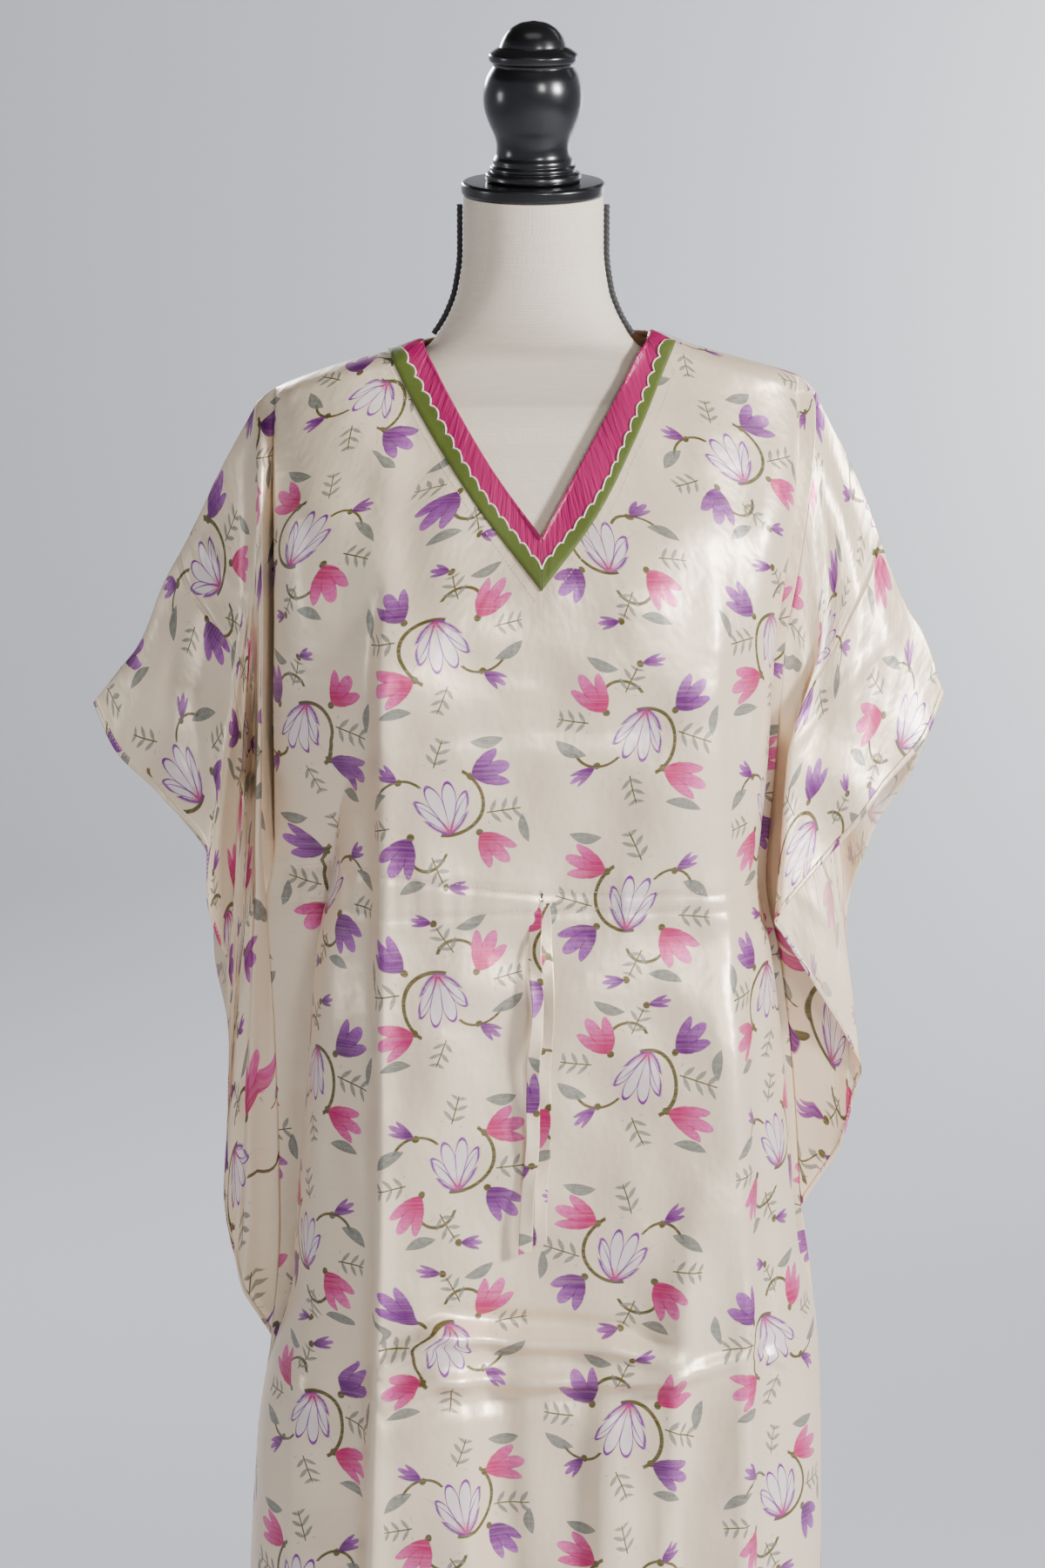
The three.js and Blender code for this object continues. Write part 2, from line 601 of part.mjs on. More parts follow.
// The neck bands: inner edge, ribbon edge and outer edge of each side, as picture places.
const BANDS = {
  left: {
    inner: [[486, 390], [514, 452], [567, 543], [622, 618]],
    scallop: [[460, 401], [490, 457], [551, 564], [622, 653]],
    outer: [[446, 403], [476, 465], [541, 572], [622, 678]],
  },
  right: {
    inner: [[746, 380], [736, 398], [701, 470], [622, 618]],
    scallop: [[763, 393], [736, 465], [691, 564], [622, 653]],
    outer: [[775, 394], [728, 508], [685, 594], [622, 678]],
  },
};
const BAND_STEPS = 20;
const BAND_THICK = 0.8;
const SCALLOPS = 16;
const SCALLOP_STEPS = 3;
const SCALLOP_DEEP = 3.2;

function band(hand, rows, steps, thick, lift, edges) {
  const sheet = new Sheet();
  const grid = [];
  const sign = hand === 'left' ? -1 : 1;
  for (let k = 0; k <= steps; k += 1) {
    const t = k / steps;
    const row = rows.map((_, c) => {
      const [x, z] = edges(c, t);
      const near = onPanel(x, z);
      const apart = sign * (SEAM_GAP / 2);
      const off = lift * (1 + 0.9 * ease(0.24 - t, 0, 0.2));
      const [mx, my, mz] = [x + near.n.x * off, near.y + near.n.y * off, z + near.n.z * off];
      return sheet.add([t === 1 ? MITRE + apart : mx, my, mz]);
    });
    grid.push(sign < 0 ? row.reverse() : row);
  }
  sheet.grid(grid);
  return sheet.wall(thick, -1);
}

const MITRE = see(622, 640, -112)[0];
const flatPath = (places) => path(places.map(([px, py]) => {
  const deep = mix(-20, -112, clamp((py - 395) / 225));
  const [x, , z] = see(px, py, deep);
  return [x, 0, z];
}));
for (const hand of ['left', 'right']) {
  const lines = Object.fromEntries(Object.entries(BANDS[hand]).map(([k, v]) => [k, flatPath(v)]));
  const bandEdge = (c, t) => {
    const a = lines.inner(t);
    const b = lines.outer(t);
    const share = [0.02, 0.5, 0.96][c];
    return [mix(a[0], b[0], share), mix(a[2], b[2], share)];
  };
  part(`neck_band_${hand}`, band(hand, [0, 1, 2], BAND_STEPS, BAND_THICK, 2.2, bandEdge), MAGENTA, 0.35);
  const ribbonEdge = (c, t) => {
    const a = lines.scallop(t);
    const b = lines.outer(t);
    const bump = SCALLOP_DEEP * Math.abs(Math.sin(Math.PI * SCALLOPS * t));
    const long = Math.hypot(a[0] - b[0], a[2] - b[2]);
    const share = c === 0 ? -bump / long : 0.98;
    return [mix(a[0], b[0], share), mix(a[2], b[2], share)];
  };
  part(`scallop_ribbon_${hand}`, band(hand, [0, 1], SCALLOPS * SCALLOP_STEPS, BAND_THICK, 3.5, ribbonEdge),
    GREEN, 0.7);
}

// A closed solid from rings of places, one above another.
function loft(rings) {
  const n = rings[0].length;
  const points = rings.flat(2);
  const index = [];
  for (let r = 0; r + 1 < rings.length; r += 1) {
    for (let k = 0; k < n; k += 1) {
      const a = r * n + k;
      const b = r * n + ((k + 1) % n);
      index.push(a, b, a + n, b, b + n, a + n);
    }
  }
  for (let k = 1; k + 1 < n; k += 1) {
    index.push(0, k + 1, k);
    const base = (rings.length - 1) * n;
    index.push(base, base + k, base + k + 1);
  }
  return solid(points, index);
}

const AROUND = 32;
const neckTop = FORM_RINGS.at(-1);
const neckMiddle = (neckTop[2] + neckTop[3]) / 2;
const formRings = FORM_RINGS.map(([z, wide, near, far, square]) => {
  const lean = Math.tan(NECK_TILT * DEG) * ease(z, 1450, 1541);
  const middle = (near + far) / 2;
  const reach = (far - near) / 2;
  return Array.from({ length: AROUND }, (_, k) => {
    const angle = (k / AROUND) * 2 * Math.PI;
    const c = Math.cos(angle);
    const s = Math.sin(angle);
    const x = wide * Math.sign(c) * Math.abs(c) ** (2 / square);
    const y = middle + reach * Math.sign(s) * Math.abs(s) ** (2 / square);
    return [x, y, z + lean * (y - middle)];
  });
});
part('form_torso', loft(formRings), LINEN, 0.9);

// Turned pieces: rows of [radius, height], from the bottom on the axis to the top on the axis.
const DISC = [[0, 0], [54, 0], [55.5, 1.5], [55.5, 8.5], [54, 10], [0, 10]];
const FINIAL = [[0, 0], [36, 0], [37, 2], [36.5, 6], [33, 8], [33, 11], [31, 13], [31, 16],
  [28.5, 20], [28, 27], [29.5, 33], [34, 42], [37.5, 52], [38.6, 62], [38, 72], [35.5, 80],
  [31, 86], [31, 89], [34, 91], [34, 96], [29, 99], [25.5, 101], [23, 108], [18, 114.5],
  [10, 119], [0, 120.5]];
const BASE = [[0, 0], [BASE_RADIUS - 2, 0], [BASE_RADIUS, 2], [BASE_RADIUS, BASE_HEIGHT - 4],
  [BASE_RADIUS - 5, BASE_HEIGHT], [0, BASE_HEIGHT]];

function turned(profile, around) {
  const rings = profile.filter(([r]) => r > 0).map(([r, z]) => (
    Array.from({ length: around }, (_, k) => {
      const angle = (k / around) * 2 * Math.PI;
      return [r * Math.cos(angle), r * Math.sin(angle), z];
    })));
  return loft(rings);
}

function onNeck(geometry, lift) {
  geometry.translate(0, 0, lift);
  geometry.rotateX(NECK_TILT * DEG);
  geometry.translate(0, neckMiddle, neckTop[0]);
  return geometry;
}
part('neck_disc', onNeck(turned(DISC, 40), SEAM_GAP), BLACK, 0.25);
part('finial', onNeck(turned(FINIAL, 28), SEAM_GAP * 2 + 10), BLACK, 0.25);
part('stand_base', turned(BASE, 48), BLACK, 0.4);
const POLE = [[0, 0], [POLE_RADIUS, 0], [POLE_RADIUS, TORSO_BOTTOM - BASE_HEIGHT - SEAM_GAP * 2],
  [0, 0]];
const pole = turned(POLE, 16);
pole.translate(0, 4, BASE_HEIGHT + SEAM_GAP);
part('stand_pole', pole, BLACK, 0.35, 0.6);

// A braided cord runs down each side of the neck and under the collar.
const CORD_RADIUS = 2.2;
const CORD_SPAN = [1534, 1500, 1470, 1452, 1440, 1434];
for (const [hand, sign] of [['left', -1], ['right', 1]]) {
  const places = CORD_SPAN.map((z) => {
    const [wide, near, far] = formAt(z);
    const rise = 1.6 * ease(1455 - z, 0, 24);
    const out = CORD_RADIUS + 0.6;
    return new THREE.Vector3(sign * (wide + out), (near + far) / 2 + 6, z + rise);
  });
  const shape = new THREE.Shape(Array.from({ length: 8 }, (_, k) => new THREE.Vector2(
    CORD_RADIUS * Math.cos((k / 8) * 2 * Math.PI), CORD_RADIUS * Math.sin((k / 8) * 2 * Math.PI))));
  const cord = new THREE.ExtrudeGeometry(shape, {
    steps: 18, extrudePath: new THREE.CatmullRomCurve3(places),
  });
  part(`side_cord_${hand}`, cord, BLACK, 0.8);
}

// The two flat ties hang together from the opening in the waist casing.
const TIES = [
  { hand: 'left', wide: 10.5, start: 3.7, off: 9.5, rows: [[617, 1038, 0], [614, 1090, -12], [618, 1160, 18],
    [612, 1230, -14], [612, 1300, 12], [606, 1370, -8], [603, 1432, 4]] },
  { hand: 'right', wide: 10.5, start: 1.9, off: 4.2, rows: [[626, 1038, 0], [627, 1090, 12], [629, 1160, -16],
    [625, 1230, 10], [625, 1300, -14], [621, 1370, 12], [620, 1424, 0]] },
];
const TIE_THICK = 1.4;
for (const { hand, wide, start, off, rows } of TIES) {
  const run = curve(rows.map(([px, py, twist]) => {
    const [x, , z] = see(px, py, -128);
    return [-z, x, twist];
  }));
  const [topZ, endZ] = [see(...rows[0].slice(0, 2), -128)[2], see(...rows.at(-1).slice(0, 2), -128)[2]];
  const rings = [];
  for (let k = 0; k <= 30; k += 1) {
    const z = mix(endZ, topZ, k / 30);
    const [x, twist] = run(-z);
    const y = Math.min(frontDepth(x - 6, z), frontDepth(x, z), frontDepth(x + 6, z))
      - mix(start, off, ease(topZ - z, 3, 45));
    const side = [[1, 0.3], [0.94, 1], [-0.94, 1], [-1, 0.3], [-1, -0.3], [-0.94, -1], [0.94, -1], [1, -0.3]];
    rings.push(side.map(([a, b]) => {
      const u = (a * wide) / 2;
      const v = (b * TIE_THICK) / 2;
      const c = Math.cos(twist * DEG);
      const s = Math.sin(twist * DEG);
      return [x + u * c - v * s, y + u * s + v * c, z];
    }));
  }
  part(`tie_${hand}`, loft(rings), SATIN, 0.35);
}

export default group;
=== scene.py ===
import math

import bpy
import numpy as np
from bpy.props import FloatProperty, FloatVectorProperty, IntProperty, PointerProperty
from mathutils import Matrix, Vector
from mathutils.bvhtree import BVHTree


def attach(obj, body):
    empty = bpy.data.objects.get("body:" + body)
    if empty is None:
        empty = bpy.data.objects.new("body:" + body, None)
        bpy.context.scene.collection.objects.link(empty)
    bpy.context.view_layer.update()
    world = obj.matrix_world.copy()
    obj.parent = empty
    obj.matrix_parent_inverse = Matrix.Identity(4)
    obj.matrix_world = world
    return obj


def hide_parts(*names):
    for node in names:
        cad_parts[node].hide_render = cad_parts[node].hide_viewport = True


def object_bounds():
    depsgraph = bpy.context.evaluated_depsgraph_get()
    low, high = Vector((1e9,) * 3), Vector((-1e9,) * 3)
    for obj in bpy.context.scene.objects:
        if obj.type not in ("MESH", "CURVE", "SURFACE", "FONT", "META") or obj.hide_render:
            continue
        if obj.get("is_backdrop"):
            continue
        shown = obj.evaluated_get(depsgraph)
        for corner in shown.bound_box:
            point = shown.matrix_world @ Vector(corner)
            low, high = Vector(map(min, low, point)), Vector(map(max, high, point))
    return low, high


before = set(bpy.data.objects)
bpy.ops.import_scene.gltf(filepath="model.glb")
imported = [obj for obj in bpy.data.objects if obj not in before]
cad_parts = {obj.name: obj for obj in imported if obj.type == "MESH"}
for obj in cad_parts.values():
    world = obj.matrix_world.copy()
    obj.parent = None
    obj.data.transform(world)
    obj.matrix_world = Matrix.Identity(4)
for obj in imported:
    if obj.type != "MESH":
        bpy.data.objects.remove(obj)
cad_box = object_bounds()

bl_info = {
    "name": "Satin kaftan on a dress form",
    "version": (1, 0, 0),
    "blender": (4, 5, 0),
    "location": "View3D > Sidebar > Kaftan",
    "description": "Draped, printed and stitched kaftan over the CAD frame",
    "category": "Object",
}

# The two layers of cloth, and whether each is the front.
SIDES = {"front": True, "back": False}

# Lengths in the tables and the drape functions are millimetres, as in the CAD source.
MM = 0.001
HEM_HEIGHT = 75
LEVEL_START = 1180
HALF_SHOULDER = 225
SLEEVE_SEAM = 360
HALF_SLEEVE = 500
HIP_HALF = 335
FORM_CLEAR = 3.0
NECK_TILT = math.radians(12.5)
RIDGE = 2.0
ROLL = 0.06

# The eye that the outline was read with: a picture point and a depth give a place.
EYE_SIDE, EYE_BACK, EYE_UP = -8.3, 2583.0, 1376.0
EYE_TILT = math.radians(6.5)
EYE_FOCAL, EYE_MID_X, EYE_MID_Y = 3768.0, 600.0, 900.0


def see(px, py, deep):
    """The place that a picture point shows at a depth."""
    u = (np.asarray(px, float) - EYE_MID_X) / EYE_FOCAL
    v = (EYE_MID_Y - np.asarray(py, float)) / EYE_FOCAL
    c, s = math.cos(EYE_TILT), math.sin(EYE_TILT)
    t = (EYE_BACK + deep) / (c + v * s)
    return np.stack([EYE_SIDE + t * u, np.zeros_like(t) + deep, EYE_UP + t * (v * c - s)], -1)


def mix(a, b, t):
    return a + (b - a) * t


def ease(x, a, b):
    t = np.clip((x - a) / (b - a), 0, 1)
    return t * t * (3 - 2 * t)


def hill(x, wide):
    return np.exp(-((x / wide) ** 2))


class Curve:
    """A smooth line through rows of (place, values), held flat past its ends."""

    def __init__(self, rows):
        table = np.array(rows, float)
        self.t, self.v = table[:, 0], table[:, 1:]
        slope = np.diff(self.v, axis=0) / np.diff(self.t)[:, None]
        a, b = slope[:-1], slope[1:]
        both = np.where(a * b > 0, 2 * a * b / np.where(a + b == 0, 1, a + b), 0)
        self.lean = np.concatenate([slope[:1], both, slope[-1:]])

    def __call__(self, at):
        x = np.clip(np.asarray(at, float), self.t[0], self.t[-1])
        i = np.clip(np.searchsorted(self.t, x, side="right") - 1, 0, len(self.t) - 2)
        h = (self.t[i + 1] - self.t[i])[..., None]
        w = (x - self.t[i])[..., None] / h
        flat = self.v[i] * (1 + 2 * w) * (1 - w) ** 2 + self.v[i + 1] * w * w * (3 - 2 * w)
        return flat + h * w * (1 - w) * (self.lean[i] * (1 - w) - self.lean[i + 1] * w)


def lengths(points):
    """The length gone along a line at each of its points."""
    return np.concatenate([[0], np.cumsum(np.linalg.norm(np.diff(points, axis=0), axis=1))])


def path(places):
    """A line through places, taken by its share of length."""
    points = np.array(places, float)
    gone = lengths(points)
    return Curve(np.column_stack([gone / gone[-1], points]))


def down(rows, hem):
    """A line down the cloth from picture x, picture y and depth, and the hem's x and depth."""
    places = [see(*row) for row in rows] + [np.array([hem[0], hem[1], HEM_HEIGHT])]
    return Curve([(-z, x, y) for x, y, z in places])


LINES = [
    down([(296, 461, 2), (303, 540, -2), (306, 700, -6), (302, 880, -14), (300, 950, -18),
          (306, 1050, -18), (316, 1200, -16), (322, 1400, -12), (312, 1533, -8), (300, 1620, -2),
          (290, 1800, 4)], (-240, 6)),
    down([(317, 445, 2), (312, 540, -50), (313, 700, -55), (312, 850, -50), (313, 950, -40),
          (320, 1050, -30), (330, 1200, -30), (334, 1400, -30), (322, 1530, -30),
          (306, 1620, -30), (296, 1800, -30)], (-233, -40)),
    down([(400, 414, 2), (400, 600, -80), (398, 750, -80), (396, 847, -75), (388, 900, -70),
          (380, 1000, -70), (360, 1100, -70), (350, 1250, -70), (337, 1400, -70),
          (330, 1530, -70), (316, 1620, -70), (305, 1800, -70)], (-222, -80)),
    down([(446, 402, 2), (441, 600, -105), (440, 730, -118), (440, 1000, -112), (440, 1400, -120),
          (434, 1600, -122), (427, 1800, -126)], (-150, -140)),
    down([(486, 390, 2), (506, 600, -110), (512, 760, -128), (512, 1800, -138)], (-80, -150)),
    down([(622, 618, -112), (621, 760, -134), (618, 1800, -140)], (4, -152)),
    down([(746, 380, 2), (728, 600, -110), (724, 760, -128), (730, 1800, -138)], (90, -150)),
    down([(800, 397, 2), (815, 600, -100), (822, 760, -112), (834, 1030, -110), (848, 1400, -116),
          (858, 1560, -118), (856, 1800, -122)], (170, -140)),
    down([(915, 431, 2), (917, 566, -50), (905, 664, -60), (893, 736, -60), (883, 894, -60),
          (873, 1010, -60), (888, 1094, -60), (900, 1190, -60), (908, 1280, -60),
          (914, 1370, -60), (920, 1445, -50), (929, 1585, -50), (930, 1800, -50)], (232, -60)),
    down([(936, 449, 2), (926, 566, -2), (912, 664, -6), (899, 736, -8), (889, 894, -12),
          (880, 1010, -14), (895, 1094, -14), (907, 1190, -13), (914, 1280, -12),
          (920, 1383, -10), (929, 1445, -8), (939, 1585, -4), (940, 1800, 4)], (244, 6)),
]
SEAM_LEFT, FOLD_UPPER, FOLD_LOWER, FOLD_RIGHT, SEAM_RIGHT = 0, 1, 2, 8, 9
MIDDLE_T = 5
CHEST_MIDDLE = 4

FRONT_MIDDLE = Curve([(75, -156), (440, -144), (650, -138), (800, -134), (930, -128), (985, -120),
                      (1030, -124), (1100, -131), (1190, -135), (1230, -130), (1276, -114),
                      (1330, -84), (1390, -50), (1430, -30)])
BACK_MIDDLE = Curve([(75, 140), (440, 128), (650, 122), (850, 126), (930, 112), (985, 94),
                     (1040, 96), (1150, 99), (1250, 102), (1320, 98), (1370, 82), (1400, 60),
                     (1432, 48)])
SLEEVE_OPEN = Curve([(1080, 0), (1120, 8), (1170, 22), (1290, 24), (1340, 18), (1390, 0)])

# The dress form: height, half width, front depth, back depth, squareness.
FORM_RINGS = [
    (770, 150, -100, 108, 2.3), (800, 160, -108, 116, 2.3), (860, 168, -110, 120, 2.3),
    (930, 158, -104, 106, 2.2), (990, 134, -94, 84, 2.2), (1040, 122, -90, 74, 2.2),
    (1090, 128, -98, 78, 2.2), (1150, 142, -120, 85, 2.3), (1195, 150, -130, 90, 2.4),
    (1240, 154, -122, 93, 2.4), (1290, 160, -98, 94, 2.4), (1335, 178, -74, 86, 2.5),
    (1362, 194, -58, 72, 2.6), (1378, 190, -49, 60, 2.6), (1392, 163, -44, 52, 2.5),
    (1404, 131, -42, 46, 2.4), (1416, 99, -41, 42, 2.2), (1428, 80, -45, 40, 2.1),
    (1445, 68, -53, 40, 2), (1470, 58, -60, 42, 2), (1505, 54, -68, 40, 2), (1541, 54, -75, 33, 2),
]
FORM_AT = Curve(FORM_RINGS)
FORM_FOOT, FORM_TOP = FORM_RINGS[0][0], FORM_RINGS[-1][0]

# Folds of the front: two picture points, half width, height, and the fade at the ends.
FOLDS = [
    ((293, 500), (290, 1010), 9, 22, 60), ((440, 760), (428, 1900), 12, 7, 80),
    ((798, 1364), (764, 1900), 16, 7, 90), ((858, 1400), (856, 1900), 10, 6, 90),
    ((560, 1500), (548, 1900), 30, -5, 90),
]

# Standing folds with one sharp side: height, half widths on the left and right, picture points.
STEPS_ACROSS = [
    (23, 6, 66, (446, 640), (440, 760), (440, 1000), (440, 1400), (434, 1600), (424, 1900)),
    (9, 50, 9, (818, 640), (824, 800), (834, 1030), (848, 1380)),
    (18, 46, 6, (850, 1060), (858, 1360), (858, 1560), (854, 1900)),
    (9, 26, 12, (524, 1440), (540, 1700), (536, 1900)),
    (9, 10, 34, (700, 1480), (690, 1700), (684, 1900)),
    (9, 8, 30, (372, 1130), (356, 1300), (346, 1500), (330, 1900)),
    (12, 34, 5, (798, 1364), (780, 1560), (764, 1752), (758, 1900)),
    (6, 9, 26, (600, 1480), (606, 1700), (610, 1900)),
]

# Standing folds of the back: height, half widths, x at the hem, waist and shoulder, and the top.
BACK_STEPS = [
    (12, 9, 46, -150, -112, -80, 1290), (8, 40, 8, -62, -48, -40, 900),
    (10, 10, 38, 30, 24, 20, 1010), (9, 34, 9, 112, 92, 76, 1240),
    (8, 9, 30, 190, 158, 120, 860), (7, 28, 8, -214, -182, -150, 900),
]
CASING_LEVEL = float(see(622, 1030, -120)[2])
PACKED_LEVEL = float(see(622, 1550, -140)[2])

# Pressed creases and soft drag lines: half width, height, then picture points along it.
CREASES = [
    (7, 11.0, (436, 1556), (458, 1537), (504, 1509), (590, 1525), (700, 1528), (775, 1545)),
    (8, -6.0, (440, 1536), (470, 1516), (504, 1487), (590, 1503), (700, 1508), (790, 1526)),
    (7, 9.0, (438, 1590), (504, 1561), (590, 1569), (700, 1565), (775, 1560), (858, 1541)),
    (10, -6.0, (440, 1608), (504, 1584), (590, 1591), (700, 1587), (790, 1578)),
    (6, 6.0, (862, 1556), (887, 1551), (938, 1585)),
    (6, 5.0, (302, 1590), (336, 1584), (372, 1603)),
    (3.4, 2.6, (586, 797), (640, 787), (697, 782)),
    (4, -2.0, (560, 806), (640, 797), (720, 788)),
    (3, 0.9, (455, 1330), (560, 1352), (660, 1368), (760, 1352)),
    (3, 0.8, (640, 1380), (700, 1396), (790, 1392)),
    (3, 0.8, (448, 1152), (500, 1180), (560, 1190)),
    (16, 3.0, (452, 470), (442, 600), (440, 740)),
    (18, -3.0, (478, 520), (470, 640), (476, 760)),
    (16, 2.6, (800, 430), (822, 600), (832, 760)),
    (16, -2.6, (850, 500), (856, 640), (852, 860)),
    (22, 3.0, (524, 1064), (512, 1250), (506, 1440)),
    (24, -2.6, (600, 1070), (590, 1300), (580, 1480)),
    (22, 2.6, (712, 1064), (724, 1250), (735, 1450)),
    (16, -2.6, (800, 1050), (806, 1200), (812, 1380)),
    (12, 2.4, (560, 1600), (545, 1700), (538, 1880)),
    (14, 2.6, (690, 1600), (700, 1720), (704, 1880)),
    (5, 1.8, (925, 1035), (955, 1068), (990, 1108)),
    (4, 2.0, (887, 892), (960, 815), (1040, 730)), (4, 2.0, (214, 622), (250, 668), (283, 708)),
    (9, 3.2, (236, 700), (216, 810), (232, 930)),
    (10, -3.0, (206, 690), (180, 800), (196, 890)),
    (8, 2.6, (976, 560), (998, 700), (990, 860)),
    (10, -2.6, (948, 540), (958, 700), (944, 900)),
    (7, 2.2, (1030, 700), (1036, 800), (1008, 890)),
]

# The waist casing: its two rows of stitching.
CASING = [
    [(300, 1016), (444, 1000), (530, 1012), (619, 1022), (720, 1024), (829, 1024), (884, 1020)],
    [(300, 1052), (444, 1047), (530, 1045), (619, 1043), (720, 1043), (829, 1044), (884, 1040)],
]


def line(k, z):
    """Width and depth of one guide line at a height."""
    found = LINES[k](-np.asarray(z, float))
    return found[..., 0], found[..., 1]


def form_depth(x, z, out, front):
    """Depth of the form's surface moved out all round, and where it is there at all."""
    wide, near, far, square = np.moveaxis(FORM_AT(z - out), -1, 0)
    s = np.abs(x) / (wide + out)
    there = (s < 1) & (z - out <= FORM_TOP)
    reach = (far - near) / 2 + out
    return (near + far) / 2 + (-1 if front else 1) * reach * lobe(s, square), there


def further_out(y, other, front):
    """The one of two depths that lies further out."""
    return np.minimum(y, other) if front else np.maximum(y, other)


def clear_of_form(x, y, z, out, front):
    """A depth of the cloth, moved out where the form would stand through it."""
    form, there = form_depth(x, z, out, front)
    return np.where(there, further_out(y, form, front), y)


def lobe(s, square):
    """A rounded cross-section, 1 in the middle and 0 at both ends."""
    return np.clip(1 - np.clip(np.abs(s), 0, 1) ** square, 0, 1) ** (1 / square)


def fold_depth(x, z):
    """Long soft folds of the front."""
    total = np.zeros_like(x)
    for start, end, wide, high, fade in FOLDS:
        a, b = see(*start, -100.0), see(*end, -100.0)
        long = a[2] - b[2]
        t = (a[2] - z) / long
        shown = ease(t * long, -fade / 2, fade / 2) * ease((1 - t) * long, -fade / 2, fade / 2)
        total -= high * shown * hill(x - mix(a[0], b[0], t), wide)
    return total


def from_line(x, z, points):
    """Distance from a line in the picture, and the share of its length."""
    places = [see(px, py, -100.0) for px, py in points]
    best = np.full(x.shape, 1e9)
    share = np.zeros_like(x)
    total = sum(np.hypot(q[0] - p[0], q[2] - p[2]) for p, q in zip(places, places[1:]))
    gone = 0.0
    for p, q in zip(places, places[1:]):
        dx, dz = q[0] - p[0], q[2] - p[2]
        long = np.hypot(dx, dz)
        w = np.clip(((x - p[0]) * dx + (z - p[2]) * dz) / long**2, 0, 1)
        far = np.hypot(x - p[0] - w * dx, z - p[2] - w * dz)
        near = far < best
        best = np.where(near, far, best)
        share = np.where(near, (gone + w * long) / total, share)
        gone += long
    return best, share


# Waves of the crumpling: how fast each turns across and up, in radians a millimetre.
WAVES = [(0.031, 0.012), (0.052, -0.020), (0.024, 0.041), (-0.071, 0.030), (0.018, -0.063),
         (0.094, 0.052), (-0.043, -0.088)]


def crumple(x, z, high):
    """Uneven low waves in several directions."""
    total = np.zeros_like(x)
    for k, (along, up) in enumerate(WAVES):
        wave = np.sin(along * x + up * z + 1.7 * k + 0.8 * np.sin(0.009 * z - 0.014 * x + k))
        total += wave * high / (1 + 26 * math.hypot(along, up))
    return total


def step_depth(x, z):
    """Standing folds that have one sharp side."""
    total = np.zeros_like(x)
    for high, left, right, *points in STEPS_ACROSS:
        spots = np.array([see(px, py, -110.0) for px, py in points])[::-1]
        off = x - np.interp(z, spots[:, 2], spots[:, 0])
        shown = ease(z, spots[0, 2] - 60, spots[0, 2]) * ease(spots[-1, 2] - z, 0, 110)
        total -= high * shown * hill(off, np.where(off < 0, left, right))
    return total


def crease_depth(x, z):
    """Pressed creases, drag lines and the waist casing."""
    total = step_depth(x, z) + crumple(x, z, 2.4)
    for wide, high, *points in CREASES:
        far, share = from_line(x, z, points)
        total -= high * hill(far, wide) * (4 * share * (1 - share)) ** 0.35
    upper, _ = from_line(x, z, CASING[0])
    lower, _ = from_line(x, z, CASING[1])
    total += 2.2 * (hill(upper, 3.2) + hill(lower, 3.2))
    between = hill(upper + lower, 40)
    pucker = np.cos(x / 3.1 + 0.9 * np.sin(x / 19)) * np.cos(x / 7.3)
    total -= between * (2.6 + 1.8 * pucker)
    return total


FLUTE_HIGH = 16


def flute(x, z, phase):
    """Soft flutes that grow towards the hem."""
    grow = FLUTE_HIGH * ease(760 - z, 0, 700)
    calm = np.clip(1 - (np.abs(x) / 245) ** 4, 0, 1)
    return grow * calm * np.cos(x / 21 + phase + 0.4 * np.sin(x / 60))


def between_seams(x, z, away):
    """Where the two side seams stand at a height, and the depth of a layer between them."""
    left_x, left_y = line(SEAM_LEFT, z)
    right_x, right_y = line(SEAM_RIGHT, z)
    across = np.clip((x - left_x) / (right_x - left_x), 0, 1)
    return left_x, right_x, mix(left_y, right_y, across) + away * SLEEVE_OPEN(z)[..., 0]


def front_depth(x, z):
    """Depth of the front: the side seams' depth and two rounded parts that share the middle."""
    left_x, right_x, side = between_seams(x, z, -1)
    low = mix(left_x, line(FOLD_LOWER, z)[0], ease(z, 600, 700))
    high = mix(line(FOLD_UPPER, z)[0], left_x, ease(1040 - z, 0, 60))
    right = mix(line(FOLD_RIGHT, z)[0], right_x, ease(720 - z, 0, 60))
    upper_share = mix(0.12, 1, ease(z, 985, 1165)) * ease(z, 900, 1010)
    lower_share = mix(1, 0.6, ease(z, 1110, 1230))
    reach = FRONT_MIDDLE(z)[..., 0] - side

    def edge(a):
        return np.where(x < CHEST_MIDDLE, (x - CHEST_MIDDLE) / (CHEST_MIDDLE - a),
                        (x - CHEST_MIDDLE) / (right - CHEST_MIDDLE))

    bulge = np.maximum(upper_share * lobe(edge(high), 2.6), lower_share * lobe(edge(low), 3))
    return side + reach * bulge + fold_depth(x, z) + flute(x, z, 0.3)


def back_depth(x, z):
    """Depth of the back, one rounded part between the side seams."""
    left_x, right_x, side = between_seams(x, z, 1)
    s = (x - (left_x + right_x) / 2) / ((right_x - left_x) / 2)
    return side + (BACK_MIDDLE(z)[..., 0] - side) * lobe(s, 2.5) - flute(x, z, 1.1)


def body_depth(x, z, front):
    """Depth of the body of one layer, kept clear of the form."""
    y = front_depth(x, z) if front else back_depth(x, z)
    y = clear_of_form(x, y, z, FORM_CLEAR, front)
    left_x, _ = line(SEAM_LEFT, z)
    right_x, _ = line(SEAM_RIGHT, z)
    inside = ease(np.minimum(x - left_x, right_x - x), 4, 40)
    y = y + (crease_depth(x, z) if front else back_creases(x, z)) * inside
    return clear_of_form(x, y, z, FORM_CLEAR, front)


